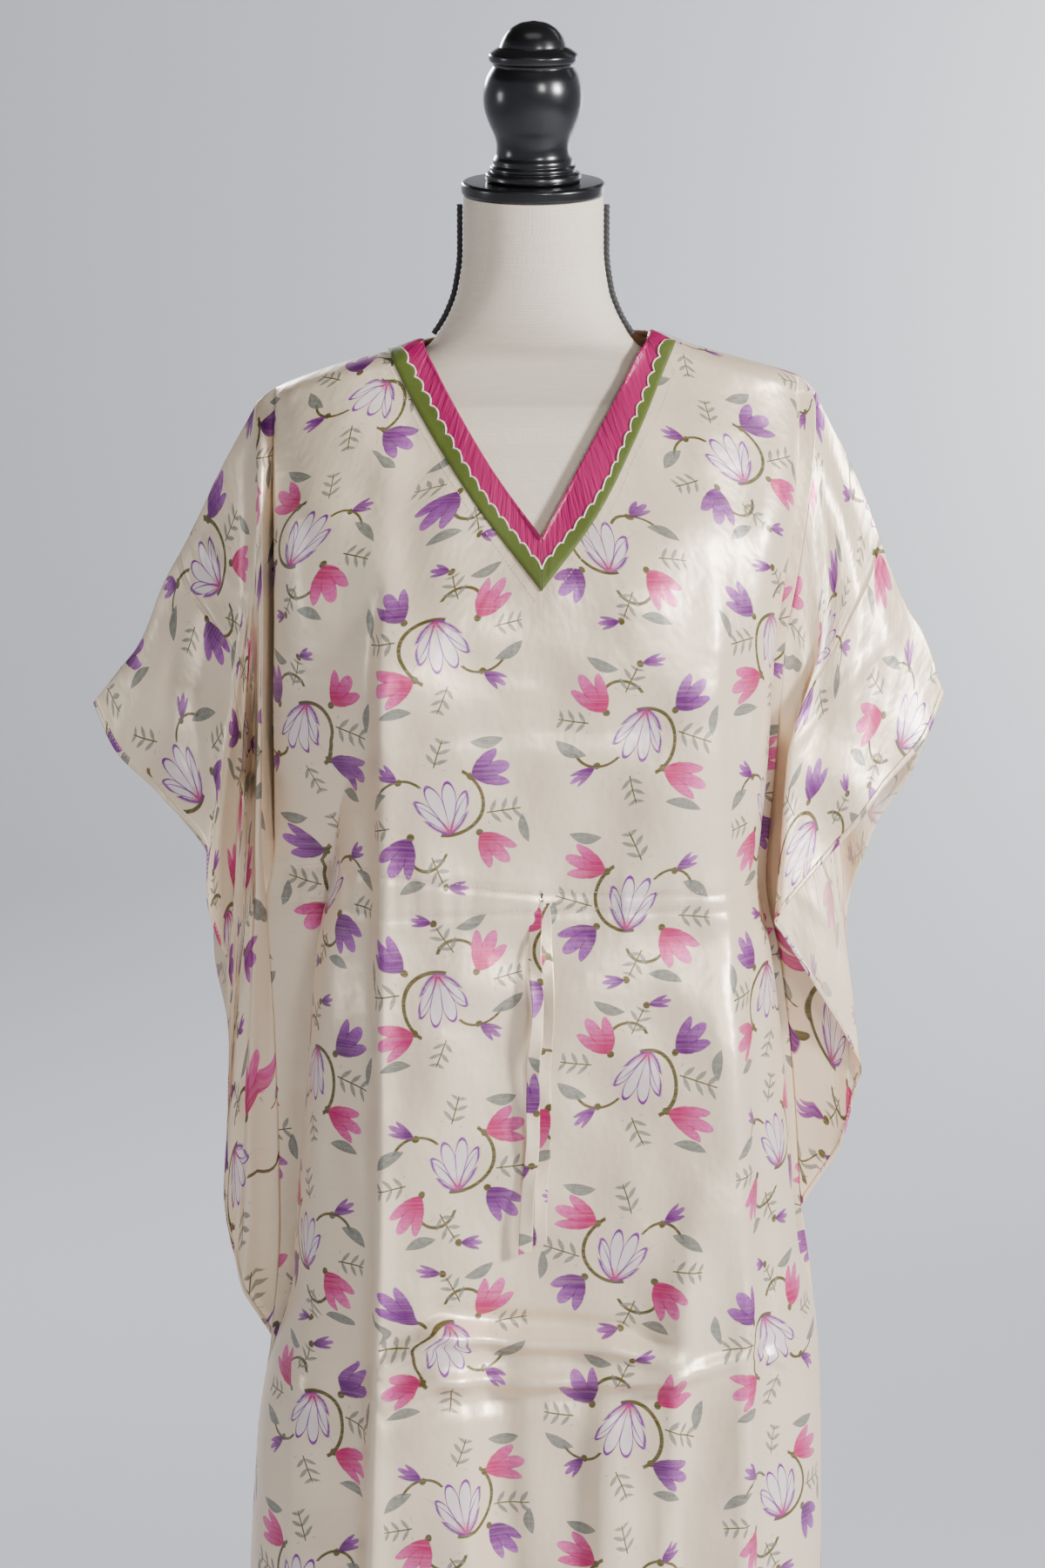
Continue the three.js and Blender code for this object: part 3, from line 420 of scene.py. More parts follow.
def back_creases(x, z):
    """Hanging folds, the casing and crumpling of the back, which the photo doesn't show."""
    total = crumple(-x, z, 2.2)
    for high, left, right, foot, mid, top, upper in BACK_STEPS:
        off = x - np.interp(z, (HEM_HEIGHT, 900, 1400), (foot, mid, top))
        shown = ease(upper - z, 0, 160)
        total += high * shown * hill(off, np.where(off < 0, left, right))
    between = hill(z - CASING_LEVEL, 16)
    pucker = np.cos(x / 3.3 + 0.9 * np.sin(x / 17)) * np.cos(x / 7.9)
    return total + between * (2.0 + 1.2 * pucker)


FRONT_TOP_ROWS = [
    (0, 296, 461, RIDGE), (1, 318, 445, RIDGE), (2, 400, 414, RIDGE), (3, 446, 402, RIDGE),
    (4, 486, 390, RIDGE), (4.08, 489, 403, -26), (4.16, 499, 422, -40), (4.28, 514, 452, -50),
    (4.62, 567, 543, -84), (5, 622, 618, -114), (5.38, 666, 535, -84), (5.72, 713, 446, -50),
    (5.84, 731, 410, -40), (5.92, 742, 392, -26), (6, 746, 380, RIDGE), (7, 800, 397, RIDGE),
    (8, 918, 432, RIDGE), (9, 936, 449, RIDGE),
]
BACK_TOP_ROWS = [
    (0, 296, 461, RIDGE), (1, 318, 445, RIDGE), (2, 400, 414, RIDGE), (3, 446, 402, RIDGE),
    (4, 486, 390, RIDGE), (4.4, 520, 384, 34), (5, 616, 376, 50), (5.6, 708, 378, 34),
    (6, 746, 380, RIDGE), (7, 800, 397, RIDGE), (8, 918, 432, RIDGE), (9, 936, 449, RIDGE),
]


TOPS = {front: [Curve([(t, *see(px, py, deep)) for t, px, py, deep in half])
                for half in ([r for r in rows if r[0] <= 5], [r for r in rows if r[0] >= 5])]
        for front, rows in ((True, FRONT_TOP_ROWS), (False, BACK_TOP_ROWS))}


def top_edge(front, t):
    """The shoulder ridge and the neck edge, which stays clear of the form."""
    left, right = TOPS[front]
    places = np.where(t[:, None] <= MIDDLE_T, left(t), right(t))
    x, y, z = places.T
    places[:, 1] = np.where((t > 4) & (t < 6), clear_of_form(x, y, z, FORM_CLEAR + 1, front), y)
    return places


def column_x(t, z):
    """Where each column stands below the shoulder."""
    stands = np.stack([line(k, z)[0] for k in range(len(LINES))])
    i = np.clip(np.floor(t).astype(int), 0, len(LINES) - 2)
    i = np.broadcast_to(i, z.shape)
    a = np.take_along_axis(stands, i[None], 0)[0]
    b = np.take_along_axis(stands, i[None] + 1, 0)[0]
    return mix(a, b, t - i)


# Where the columns stand closer: how much, at which guide, and how far round it.
COLUMN_CROWDS = [(2.2, 0.9, 0.45), (2.4, 2, 0.3), (1.2, 3, 0.2), (2.6, 8, 0.35), (1.6, 4.08, 0.1),
                 (1.6, 5.92, 0.1)]
# The same for the rows, by height.
LEVEL_CROWDS = [(2.0, CASING_LEVEL, 42), (2.6, PACKED_LEVEL, 46)]


def crowded(start, end, crowds, count):
    """Values from start to end that stand closer at each crowd."""
    spots = np.linspace(start, end, 2001)
    dense = 1 + sum(more * hill(spots - at, wide) for more, at, wide in crowds)
    gone = np.concatenate([[0], np.cumsum(dense[:-1])])
    return np.interp(np.linspace(0, gone[-1], count), gone, spots)


def fine_columns(count):
    """Column shares with more of them where the cloth turns over a fold."""
    return crowded(0, 9, COLUMN_CROWDS, count)


def fine_levels(count):
    """Heights of the rows below the chest, closer at the casing and the packing creases."""
    return crowded(LEVEL_START, HEM_HEIGHT, LEVEL_CROWDS, count)


def body_grid(front, columns, top_rows, level_rows):
    """Places and flat-cut places of the body of one layer."""
    t = fine_columns(columns)
    for key in (4, 5, 6):
        t[np.argmin(np.abs(t - key))] = key
    top = top_edge(front, t)
    v = (np.linspace(0, 1, top_rows)[:-1] ** 1.35)[:, None]
    low = mix(top[:, 2], LEVEL_START, v)
    x = mix(top[:, 0], column_x(t, low), ease(v, 0, 0.5))
    y = body_depth(x, low, front)
    w = np.clip(v / ROLL, 0, 1)
    y = mix(top[:, 1], y, np.sqrt(1 - (1 - w) ** 2))
    upper = np.stack([x, y, low], -1)
    z = fine_levels(level_rows)[:, None] + np.zeros(len(t))
    x = column_x(t, z)
    lower = np.stack([x, body_depth(x, z, front), z], -1)
    places = np.concatenate([upper, lower])
    steps = np.linalg.norm(np.diff(places, axis=1), axis=2)
    across = np.concatenate([np.zeros((len(places), 1)), np.cumsum(steps, 1)], 1)
    middle = int(np.argmin(np.abs(t - MIDDLE_T)))
    down_steps = np.linalg.norm(np.diff(places[: len(low) + 1], axis=0), axis=2)
    over = np.cumsum(down_steps[::-1], axis=0)[::-1] - (low - LEVEL_START)
    tall = places[..., 2].copy()
    tall[: len(low)] += over * ease(t, 0, 1) * ease(9 - t, 0, 1)
    flat = np.stack([across - across[:, middle : middle + 1], tall], -1)
    return places, flat


WINGS = {
    "left": {
        "seam": SEAM_LEFT, "sign": -1,
        "ridge": [(296, 461), (254, 538), (218, 615), (187, 673), (165, 736), (135, 772),
                  (107, 807)],
        "front": [(107, 807, RIDGE), (133, 862, -16), (187, 916, -34), (238, 981, -52),
                  (237, 1030, -56), (251, 1078, -54), (266, 1110, -50), (262, 1152, -48),
                  (265, 1190, -46), (260, 1260, -44), (249, 1380, -38), (270, 1463, -24),
                  (312, 1533, -8)],
        "back": [(107, 807, RIDGE), (140, 866, 14), (200, 930, 26), (244, 1000, 38),
                 (246, 1090, 34), (262, 1180, 24), (266, 1290, 30), (262, 1400, 22),
                 (312, 1533, -8)],
    },
    "right": {
        "seam": SEAM_RIGHT, "sign": 1,
        "ridge": [(936, 449), (948, 475), (970, 518), (998, 582), (1021, 649), (1041, 696),
                  (1061, 728), (1084, 797)],
        "front": [(1084, 797, RIDGE), (1063, 847, -18), (1014, 906, -34), (978, 955, -46),
                  (932, 1006, -56), (894, 1050, -64), (889, 1057, -58), (897, 1070, -50),
                  (935, 1130, -44), (980, 1206, -34), (989, 1228, -27), (982, 1250, -20),
                  (962, 1319, -15), (942, 1350, -12), (920, 1383, -10)],
        "back": [(1084, 797, RIDGE), (1050, 880, 14), (1000, 960, 26), (972, 1060, 34),
                 (974, 1160, 26), (966, 1260, 20), (942, 1330, 6), (920, 1383, -10)],
    },
}
# How far the wings' rays start down the side, and where the left wing tucks behind the pleat.
DIP = 175
TUCK_FROM, TUCK_TO, TUCK_WIDE, TUCK_DEEP = 0.36, 0.92, 12, 36
# The share of its rays over which a wing runs into its first and last line.
END_SHARE = 1 / 22
# Below this height the two layers of a wing lie on each other.
SLEEVES_LIE_SHUT = 1080
# The back is cut from another place in the print.
BACK_IN_PRINT = (437, 61)


def cut_share(t):
    """Where the sleeve seam crosses each ray of a wing."""
    flat_edge = mix(HALF_SLEEVE, HIP_HALF, ease(t, 0.35, 1))
    return np.minimum(1, (SLEEVE_SEAM - HALF_SHOULDER) / (flat_edge - HALF_SHOULDER))


def wing_grid(name, front, t, shares):
    """Places and flat-cut places of one layer of a wing. shares holds r for each ray and step."""
    wing = WINGS[name]
    sign, seam = wing["sign"], wing["seam"]
    away = -1 if front else 1
    edge = path([see(*row) for row in wing["front" if front else "back"]])
    ridge = path([see(px, py, RIDGE) for px, py in wing["ridge"]])
    start = ridge(0.0)
    rays = t[:, None]
    z = (start[2] - DIP * t**0.9)[:, None]
    seam_x, seam_y = line(seam, z)
    origin = np.stack([seam_x, seam_y + away * SLEEVE_OPEN(z)[..., 0], z], -1)
    target = np.broadcast_to(edge(t)[:, None, :], (*shares.shape, 3))
    if name == "right" and front:
        calm = path([edge(0.0), see(1015, 1090, -40.0), edge(1.0)])
        folded = ease(shares, 0.12, 0.62)[..., None]
        target = mix(np.broadcast_to(calm(t)[:, None, :], target.shape), target, folded)
    places = mix(origin, target, shares[..., None])
    if front:
        places[..., 1] += fold_depth(places[..., 0], places[..., 2])
    if front and name == "left":
        share = np.clip((rays - TUCK_FROM) / (TUCK_TO - TUCK_FROM), 0, 1)
        shown = np.sin(np.pi * share) * ease(shares, 0, 0.35)
        places[..., 0] -= TUCK_WIDE * (1 - 2 * share) * shown
        places[..., 1] += TUCK_DEEP * shown
    top = ridge(shares)
    places = mix(top, places, np.clip(rays / END_SHARE, 0, 1)[..., None])
    last = np.clip((1 - rays) / END_SHARE, 0, 1)
    end = edge(1.0)
    side_z = mix(z[-1, 0], end[2], shares)
    side_x, side_y = line(seam, side_z)
    side = np.stack([side_x, side_y + away * SLEEVE_OPEN(side_z)[..., 0], side_z], -1)
    places = mix(side, places, last[..., None])
    x, height = places[..., 0], places[..., 2]
    sx, sy = line(seam, height)
    off = 0.5 + np.minimum(7, 0.16 * np.abs(x - sx))
    apart = further_out(places[..., 1], sy + away * off, front)
    places[..., 1] = np.where(height < SLEEVES_LIE_SHUT, apart, places[..., 1])
    calm_in = ease(shares, 0.02, 0.2) * ease(rays, 0, 0.15) * ease(1 - rays, 0, 0.15)
    if front:
        places[..., 1] += crease_depth(x, height) * calm_in
    ripple = 2.2 * np.sin(rays * 34 + 3 * shares) * ease(shares, 0.45, 1)
    ripple = ripple + 1.6 * np.sin(rays * 19 + 1)
    places[..., 1] += away * -0.7 * ripple * calm_in
    flat_edge = mix(HALF_SLEEVE, HIP_HALF, ease(t, 0.35, 1))[:, None] + 20
    gone = lengths(edge(np.linspace(0, 1, 200)))[-1] * rays
    flat_u = sign * mix(HALF_SHOULDER + 20, flat_edge, shares)
    flat_v = mix(z, start[2] - gone, shares)
    return places, np.stack([flat_u, flat_v], -1)


def faced(grid, hand):
    """A grid whose faces look out: the left hand's columns run the other way."""
    return tuple(one[:, ::-1] for one in grid) if hand == "left" else grid


def elsewhere(grids):
    """The back's grids, turned over and moved to their own place in the print."""
    return [(places, flat * np.array([-1, 1]) + np.array(BACK_IN_PRINT)) for places, flat in grids]


def layer_grids(front, sizes):
    """The grids of one layer: its panel with the inner wings, and the two sleeve strips."""
    body, flat = body_grid(front, sizes.columns, sizes.top_rows, sizes.level_rows)
    panel = [(body, flat)]
    strips = {}
    t = np.linspace(0, 1, sizes.wing_rays)
    for name in WINGS:
        cut = cut_share(t)[:, None]
        inner = np.linspace(0, 1, sizes.wing_steps) * cut
        panel.append(faced(wing_grid(name, front, t, inner), name))
        rays = t[: int(np.argmax(cut[:, 0] > 0.999)) or len(t)]
        cut = cut_share(rays)[:, None]
        reach = mix(cut, 1.0, np.linspace(0, 1, sizes.strip_steps))
        strips[name] = [faced(wing_grid(name, front, rays, reach), name)]
    if not front:
        panel = elsewhere(panel)
        strips = {name: elsewhere(grids) for name, grids in strips.items()}
    return panel, strips


BANDS = {
    "left": {
        "scallop": [(460, 401), (490, 457), (551, 564), (622, 653)],
        "outer": [(446, 403), (476, 465), (541, 572), (622, 678)],
        "stitches": [(447, 420), (474, 476), (530, 572), (551, 602), (618, 693)],
    },
    "right": {
        "scallop": [(763, 393), (736, 465), (691, 564), (622, 653)],
        "outer": [(775, 394), (728, 508), (685, 594), (622, 678)],
        "stitches": [(776, 422), (760, 468), (728, 527), (707, 578), (648, 666), (621, 695)],
    },
}
MITRE = float(see(622, 640, -112.0)[0])


class Drape:
    """A draped cloth that other pieces are laid on."""

    def __init__(self, mesh, front):
        points = [v.co.copy() for v in mesh.vertices]
        self.tree = BVHTree.FromPolygons(points, [list(f.vertices) for f in mesh.polygons])
        self.away = -1 if front else 1

    def at(self, x, z, lift):
        """The place on the cloth at x and z, in millimetres, moved out, and its direction."""
        start = Vector((x * MM, self.away * 0.6, z * MM))
        place, turn, _, _ = self.tree.ray_cast(start, Vector((0, -self.away, 0)))
        if place is None:
            place, turn, _, _ = self.tree.find_nearest(Vector((x * MM, self.away * 0.03, z * MM)))
        if turn.y * self.away < 0:
            turn = -turn
        return np.array(place) / MM + np.array(turn) * lift, np.array(turn)


def flat_path(points):
    """A line on the front seen in the picture, as width and height."""
    places = []
    for px, py in points:
        deep = mix(-20.0, -112.0, min(1.0, max(0.0, (py - 395) / 225)))
        x, _, z = see(px, py, deep)
        places.append((x, 0, z))
    return path(places)


def neck_edge(hand):
    """The cloth's own edge along one side of the V neck."""
    t = np.linspace(4, 5, 60) if hand == "left" else np.linspace(6, 5, 60)
    return path(top_edge(True, t))


def band_grid(drape, hand, steps, shares, edges, lift, rim=None):
    """A strip along one side of the neck, laid on the cloth. lift holds one value per share."""
    places = np.zeros((steps + 1, len(shares), 3))
    flat = np.zeros((steps + 1, len(shares), 2))
    gone = 0.0
    for k in range(steps + 1):
        t = k / steps
        a, b = edges(t)
        for c, share in enumerate(shares):
            x, z = mix(a[0], b[0], share), mix(a[1], b[1], share)
            near_ridge = 1 + 0.5 * float(ease(0.06 - t, 0, 0.06))
            place, _ = drape.at(x, z, lift[c] * near_ridge)
            if rim is not None and c < 2:
                place = rim(t) + np.array([0, (1.7, -0.5)[c], (0.0, 0.6)[c]])
            if k == steps:
                place[0] = MITRE + (-0.15 if hand == "left" else 0.15)
            places[k, c] = place
        if k:
            gone += float(np.linalg.norm(places[k, 0] - places[k - 1, 0]))
        wide = math.hypot(a[0] - b[0], a[1] - b[1])
        flat[k, :, 0] = np.array(shares) * wide
        flat[k, :, 1] = gone
    return places, flat


def cap_grids(tube, flat, middles):
    """Closes both ends of a tube towards its middle line."""
    caps = []
    for end in (0, -1):
        centre = np.broadcast_to(middles[end], tube[end].shape)
        both = np.stack([centre, tube[end]] if end == 0 else [tube[end], centre])
        caps.append((both, np.stack([flat[end], flat[end]])))
    return caps


def tube_grid(places, radius, sides, swell=None):
    """A tube round a line of places, with its middle line. swell scales the radius."""
    line_points = np.array(places, float)
    along = np.gradient(line_points, axis=0)
    along /= np.linalg.norm(along, axis=1)[:, None]
    up = np.tile([0.0, 1.0, 0.02], (len(along), 1))
    one = np.cross(along, up)
    one /= np.linalg.norm(one, axis=1)[:, None]
    two = np.cross(one, along)
    angle = np.linspace(0, 2 * np.pi, sides + 1)
    plain = np.ones((len(along), sides + 1))
    size = radius * (plain if swell is None else swell(angle, len(along)))
    c, s = np.cos(angle)[None, :, None], np.sin(angle)[None, :, None]
    ring = one[:, None] * c + two[:, None] * s
    tube = line_points[:, None] + ring * size[..., None]
    flat = np.stack(np.broadcast_arrays(angle[None] * radius, lengths(line_points)[:, None]), -1)
    return [(tube, flat), *cap_grids(tube, flat, line_points)]


def twisted(angle, steps):
    """The swell of a cord of two twisted strands."""
    return 1 + 0.16 * np.sin(angle[None] * 2 + np.arange(steps)[:, None] * 1.1)


def plaited(angle, steps):
    """The swell of a plaited cord."""
    turn = np.arange(steps)[:, None] * 0.30
    one, other = np.sin(1.5 * angle[None] + turn), np.sin(1.5 * angle[None] - turn)
    return 0.84 + 0.14 * (np.abs(one) + np.abs(other))


def lathe_grid(profile, around):
    """A turned surface from rows of radius and height."""
    rows = np.array(profile, float)
    angle = np.linspace(0, 2 * np.pi, around + 1)
    places = np.stack(np.broadcast_arrays(rows[:, :1] * np.cos(angle), rows[:, :1] * np.sin(angle),
                                          rows[:, 1:]), -1)
    flat = np.stack(np.broadcast_arrays(angle * 50, rows[:, 1:]), -1)
    return places, flat


def rounded(rows, steps=5):
    """A profile whose corners are rounded: rows of radius, height and the corner's size."""
    out = [rows[0][:2]]
    for before, here, after in zip(rows, rows[1:], rows[2:]):
        p, a, b = np.array(here[:2], float), np.array(before[:2], float), np.array(after[:2], float)
        size = here[2] if len(here) > 2 else 0
        if not size:
            out.append(tuple(p))
            continue
        start = p + (a - p) * min(0.45, size / max(1e-6, np.linalg.norm(a - p)))
        end = p + (b - p) * min(0.45, size / max(1e-6, np.linalg.norm(b - p)))
        for k in range(steps + 1):
            w = k / steps
            out.append(tuple(start * (1 - w) ** 2 + 2 * p * w * (1 - w) + end * w * w))
    out.append(rows[-1][:2])
    return out


def on_neck(places, lift):
    """Places of a turned piece, tilted with the neck's top and set on it."""
    wide, near, far, _ = FORM_AT(float(FORM_TOP))
    c, s = math.cos(NECK_TILT), math.sin(NECK_TILT)
    x, y, z = places[..., 0], places[..., 1], places[..., 2] + lift
    return np.stack([x, y * c - z * s + (near + far) / 2, y * s + z * c + FORM_TOP], -1)


def stitch_grids(places, turns, length, gap, width):
    """Small raised stitches along a line, in millimetres."""
    points, turns = np.array(places, float), np.array(turns, float)
    gone = lengths(points)
    grids = []
    angle = np.linspace(0, 2 * np.pi, 6)
    rise = np.array([-0.5, 0.55, 0.8, 0.55, -0.5]) * width
    for start in np.arange(0.3, gone[-1] - length, length + gap):
        stops = start + np.linspace(0, length, 5)
        middle = np.stack([np.interp(stops, gone, points[:, k]) for k in range(3)], -1)
        turn = np.stack([np.interp(stops, gone, turns[:, k]) for k in range(3)], -1)
        turn /= np.linalg.norm(turn, axis=1)[:, None]
        along = middle[-1] - middle[0]
        along /= np.linalg.norm(along)
        side = np.cross(along, turn)
        middle = middle + turn * rise[:, None]
        thick = (np.array([0.15, 0.9, 1.0, 0.9, 0.15]) * width / 2)[:, None, None]
        ring = side[:, None] * np.cos(angle)[:, None] + turn[:, None] * np.sin(angle)[:, None]
        places_here = middle[:, None] + ring * thick
        grids.append((places_here, places_here[..., :2]))
    return grids


def grid_mesh(name, grids, turn=False):
    """One mesh from grids of places in millimetres, with a map of flat-cut places in metres."""
    points, faces, maps = [], [], []
    base = 0
    for places, flat in grids:
        rows, columns = places.shape[:2]
        points.append(places.reshape(-1, 3) * MM)
        maps.append(flat.reshape(-1, 2) * MM)
        k = (np.arange(rows - 1)[:, None] * columns + np.arange(columns - 1)).ravel() + base
        quad = np.stack([k, k + columns, k + columns + 1, k + 1], -1)
        faces.append(quad[:, ::-1] if turn else quad)
        base += rows * columns
    points, faces, maps = np.concatenate(points), np.concatenate(faces), np.concatenate(maps)
    corners = points[faces]
    long = np.linalg.norm(corners - np.roll(corners, 1, axis=1), axis=2)
    faces = faces[(long.max(axis=1) > 1e-5)]
    mesh = bpy.data.meshes.new(name)
    mesh.from_pydata(points.tolist(), [], faces.tolist())
    cut = mesh.uv_layers.new(name="Cut")
    index = np.empty(len(mesh.loops), dtype=np.int32)
    mesh.loops.foreach_get("vertex_index", index)
    cut.data.foreach_set("uv", maps[index].ravel().astype(np.float32))
    return mesh


def shown(name, mesh, *materials, smooth=True):
    """Adds the mesh as an object that rides on the part's one body."""
    thing = bpy.data.objects.new(name, mesh)
    bpy.context.scene.collection.objects.link(thing)
    mesh.polygons.foreach_set("use_smooth", [smooth] * len(mesh.polygons))
    for material in materials:
        mesh.materials.append(material)
    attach(thing, "root")
    return thing


def thicken(thing, thickness, inner=0):
    solidify = thing.modifiers.new("Cloth", "SOLIDIFY")
    solidify.thickness = thickness
    solidify.offset = 0
    solidify.material_offset = inner
    return thing


def length_of(name, about, metres):
    return FloatProperty(name=name, description=about, default=metres, unit="LENGTH")


def count_of(name, about, count):
    return IntProperty(name=name, description=about, default=count)


def colour_of(name, about, colour):
    return FloatVectorProperty(name=name, description=about, subtype="COLOR", default=colour)


class KaftanSizes(bpy.types.PropertyGroup):
    """Sizes of the cloth and its sewing."""

    cloth_thickness: length_of("Cloth thickness", "Thickness of the satin", 0.0007)
    hem_width: length_of("Hem width", "Width of the rolled hem", 0.0055)
    stitch_length: length_of("Stitch length", "Length of one stitch", 0.0026)
    thread_width: length_of("Thread width", "Width of the sewing thread", 0.00045)
    scallop_depth: length_of("Scallop depth", "Height of one scallop", 0.0032)
    scallops: count_of("Scallops", "Scallops on one side", 16)
    columns: count_of("Columns", "Columns of the body grid", 170)
    top_rows: count_of("Top rows", "Rows above the chest", 56)
    level_rows: count_of("Level rows", "Rows below the chest", 190)
    wing_rays: count_of("Wing rays", "Rays of a sleeve", 110)
    wing_steps: count_of("Wing steps", "Steps out to the sleeve seam", 34)
    strip_steps: count_of("Strip steps", "Steps across a sleeve strip", 30)
    cord_radius: length_of("Cord radius", "Radius of the braided cord", 0.0022)


class KaftanColours(bpy.types.PropertyGroup):
    """Colours of the cloth, trims and stand."""

    ground: colour_of("Ground", "Ivory satin", (0.86, 0.69, 0.49))
    magenta: colour_of("Magenta", "Neck band", (0.29, 0.0005, 0.075))
    green: colour_of("Green", "Scalloped ribbon", (0.06, 0.085, 0.002))
    linen: colour_of("Linen", "Dress form cover", (0.90, 0.78, 0.62))
    thread: colour_of("Thread", "Cream thread", (0.82, 0.74, 0.62))
    black: colour_of("Black", "Lacquer and braid", (0.006, 0.006, 0.007))
    wall: colour_of("Wall", "Plain backdrop", (0.62, 0.63, 0.68))


drapes = {}


def cloth(name):
    """A material by its name, made the first time it is asked for."""
    if name not in bpy.data.materials:
        MAKERS[name]()
    return bpy.data.materials[name]


def sizes():
    return bpy.context.scene.kaftan_sizes


def colours():
    return bpy.context.scene.kaftan_colours


def toned(base, factor, lift=0.0):
    """A colour made darker or lighter, kept below 1."""
    return tuple(min(1.0, n * factor + lift) for n in base)


class Num:
    """A shader value that takes ordinary arithmetic."""

    def __init__(self, web, socket):
        self.web, self.socket = web, socket

    def __add__(self, other):
        return self.web.math("ADD", self, other)

    def __sub__(self, other):
        return self.web.math("SUBTRACT", self, other)

    def __rsub__(self, other):
        return self.web.math("SUBTRACT", other, self)

    def __mul__(self, other):
        return self.web.math("MULTIPLY", self, other)

    def __truediv__(self, other):
        return self.web.math("DIVIDE", self, other)

    def __abs__(self):
        return self.web.math("ABSOLUTE", self)

    def __mod__(self, other):
        return self.web.math("FLOORED_MODULO", self, other)

    __radd__ = __add__
    __rmul__ = __mul__

    def kept(self):
        """The value kept from 0 to 1."""
        return self.web.math("ADD", self, 0.0, clamp=True)


class Web:
    """The nodes of one material, made from short expressions."""

    def __init__(self, name):
        self.material = bpy.data.materials.new(name)
        self.material.use_nodes = True
        self.tree = self.material.node_tree
        self.shader = self.tree.nodes["Principled BSDF"]

    def node(self, kind, settings=None, inputs=None, output=0):
        """One node of any kind, with its settings and inputs, as the chosen output."""
        one = self.tree.nodes.new(kind)
        for name, value in (settings or {}).items():
            setattr(one, name, value)
        for name, value in (inputs or {}).items():
            self.feed(one.inputs[name], value)
        return Num(self, one.outputs[output])

    def feed(self, socket, value):
        if isinstance(value, Num):
            self.tree.links.new(value.socket, socket)
        else:
            socket.default_value = value

    def math(self, kind, *values, clamp=False):
        return self.node("ShaderNodeMath", {"operation": kind, "use_clamp": clamp},
                         dict(enumerate(values)))

    def blend(self, share, a, b):
        a, b = [one if isinstance(one, Num) else (*one, 1) for one in (a, b)]
        return self.node("ShaderNodeMix", {"data_type": "RGBA"}, {0: share, 6: a, 7: b}, output=2)

    def noise(self, place, scale, detail=2.0, rough=0.5):
        return self.node("ShaderNodeTexNoise", {},
                         {"Vector": place, "Scale": scale, "Detail": detail, "Roughness": rough})

    def place(self, x, y, z=0.0):
        return self.node("ShaderNodeCombineXYZ", {}, {0: x, 1: y, 2: z})

    def cut(self):
        """The two flat-cut coordinates of the cloth, in millimetres."""
        where = self.node("ShaderNodeUVMap", {"uv_map": "Cut"})
        split = self.tree.nodes.new("ShaderNodeSeparateXYZ")
        self.feed(split.inputs[0], where)
        return Num(self, split.outputs[0]) * 1000.0, Num(self, split.outputs[1]) * 1000.0

    def object_place(self):
        return self.node("ShaderNodeTexCoord", output="Object")

    def bump(self, height, distance, strength=1.0, under=None):
        inputs = {"Height": height, "Distance": distance, "Strength": strength}
        if under is not None:
            inputs["Normal"] = under
        return self.node("ShaderNodeBump", {}, inputs)

    def set(self, **inputs):
        for name, value in inputs.items():
            self.feed(self.shader.inputs[name.replace("_", " ")], value)
        return self.material


def turned_to(web, x, y, place, degrees):
    """Coordinates along and across a motif that stands at a place and points some way."""
    c, s = math.cos(math.radians(degrees)), math.sin(math.radians(degrees))
    px, py = place
    along = web.math("MULTIPLY_ADD", x, c, web.math("MULTIPLY_ADD", y, s, -px * c - py * s))
    across = web.math("MULTIPLY_ADD", x, -s, web.math("MULTIPLY_ADD", y, c, px * s - py * c))
    return along, across


class Bloom:
    """A flower from the side: petals that fan out from its foot."""

    def __init__(self, web, x, y, place, degrees, size, petals, fan):
        along, across = turned_to(web, x, y, place, degrees)
        far = web.math("SQRT", web.math("MULTIPLY_ADD", along, along, across * across))
        turn = web.math("ARCTAN2", across, along)
        half = math.radians(fan) / 2
        phase = 0.0 if petals % 2 else 0.5
        ripple = web.math("PINGPONG", turn * (petals / (2 * half)) + phase, 0.5)
        self.between = ripple * 2.0
        dip = self.between * self.between
        lean = turn * turn * (-0.22 / half**2)
        self.reach = (1.0 - dip * 0.34 + lean) * size
        inside = ((self.reach - far) / 0.9).kept()
        bulge = 1.0 - far * (0.62 / size)
        side = ((bulge * (half * 1.5) - abs(turn)) * (far * 0.8)).kept()
        self.mask = inside * side
        self.out = far / size
        self.rim = (2.0 - abs(self.reach - far - 2.0) / 1.1).kept() * side
        self.rib = ((dip - 0.72) * 5.0).kept() * self.mask
        stray = abs(across) - along * (along * (0.55 / size) + 0.30)
        taper = (1.0 - along / size) * 1.9
        self.curl = ((taper - abs(stray)) / 0.6).kept() * (along / 3.0).kept()
        self.flank = (1.0 - abs(bulge * (half * 1.5) - abs(turn)) * far / 2.7).kept() * inside
        self.foot = ((4.2 - far) / 0.8).kept() * (3.0 - along).kept()


def leaf(web, x, y, place, degrees, long, wide):
    along, across = turned_to(web, x, y, place, degrees)
    share = along / long
    swell = web.math("MULTIPLY_ADD", share * -wide, share, wide)
    bend = web.math("MULTIPLY_ADD", share, share * (long * 0.16), across)
    mask = ((swell - abs(bend)) / 0.6).kept()
    vein = (1.0 - abs(bend) / 0.55).kept()
    return mask, vein


def sprig(web, x, y, place, degrees, long, pitch):
    """A twig with pairs of small slanted leaves."""
    along, across = turned_to(web, x, y, place, degrees)
    step = along % pitch
    side = abs(across)
    out = side * 0.78 + step * 0.42
    off = step * 0.86 - side * 0.62 - pitch * 0.16
    share = out / (pitch * 0.62) - 1.0
    swell = (1.0 - share * share) * (pitch * 0.22)
    on_twig = ((along + pitch * 0.2) * 0.8).kept() * ((long - along) * 0.8).kept()
    leaves = ((swell - abs(off)) / 0.5).kept() * on_twig
    twig = ((1.0 - side) / 0.5).kept() * on_twig
    return leaves, twig


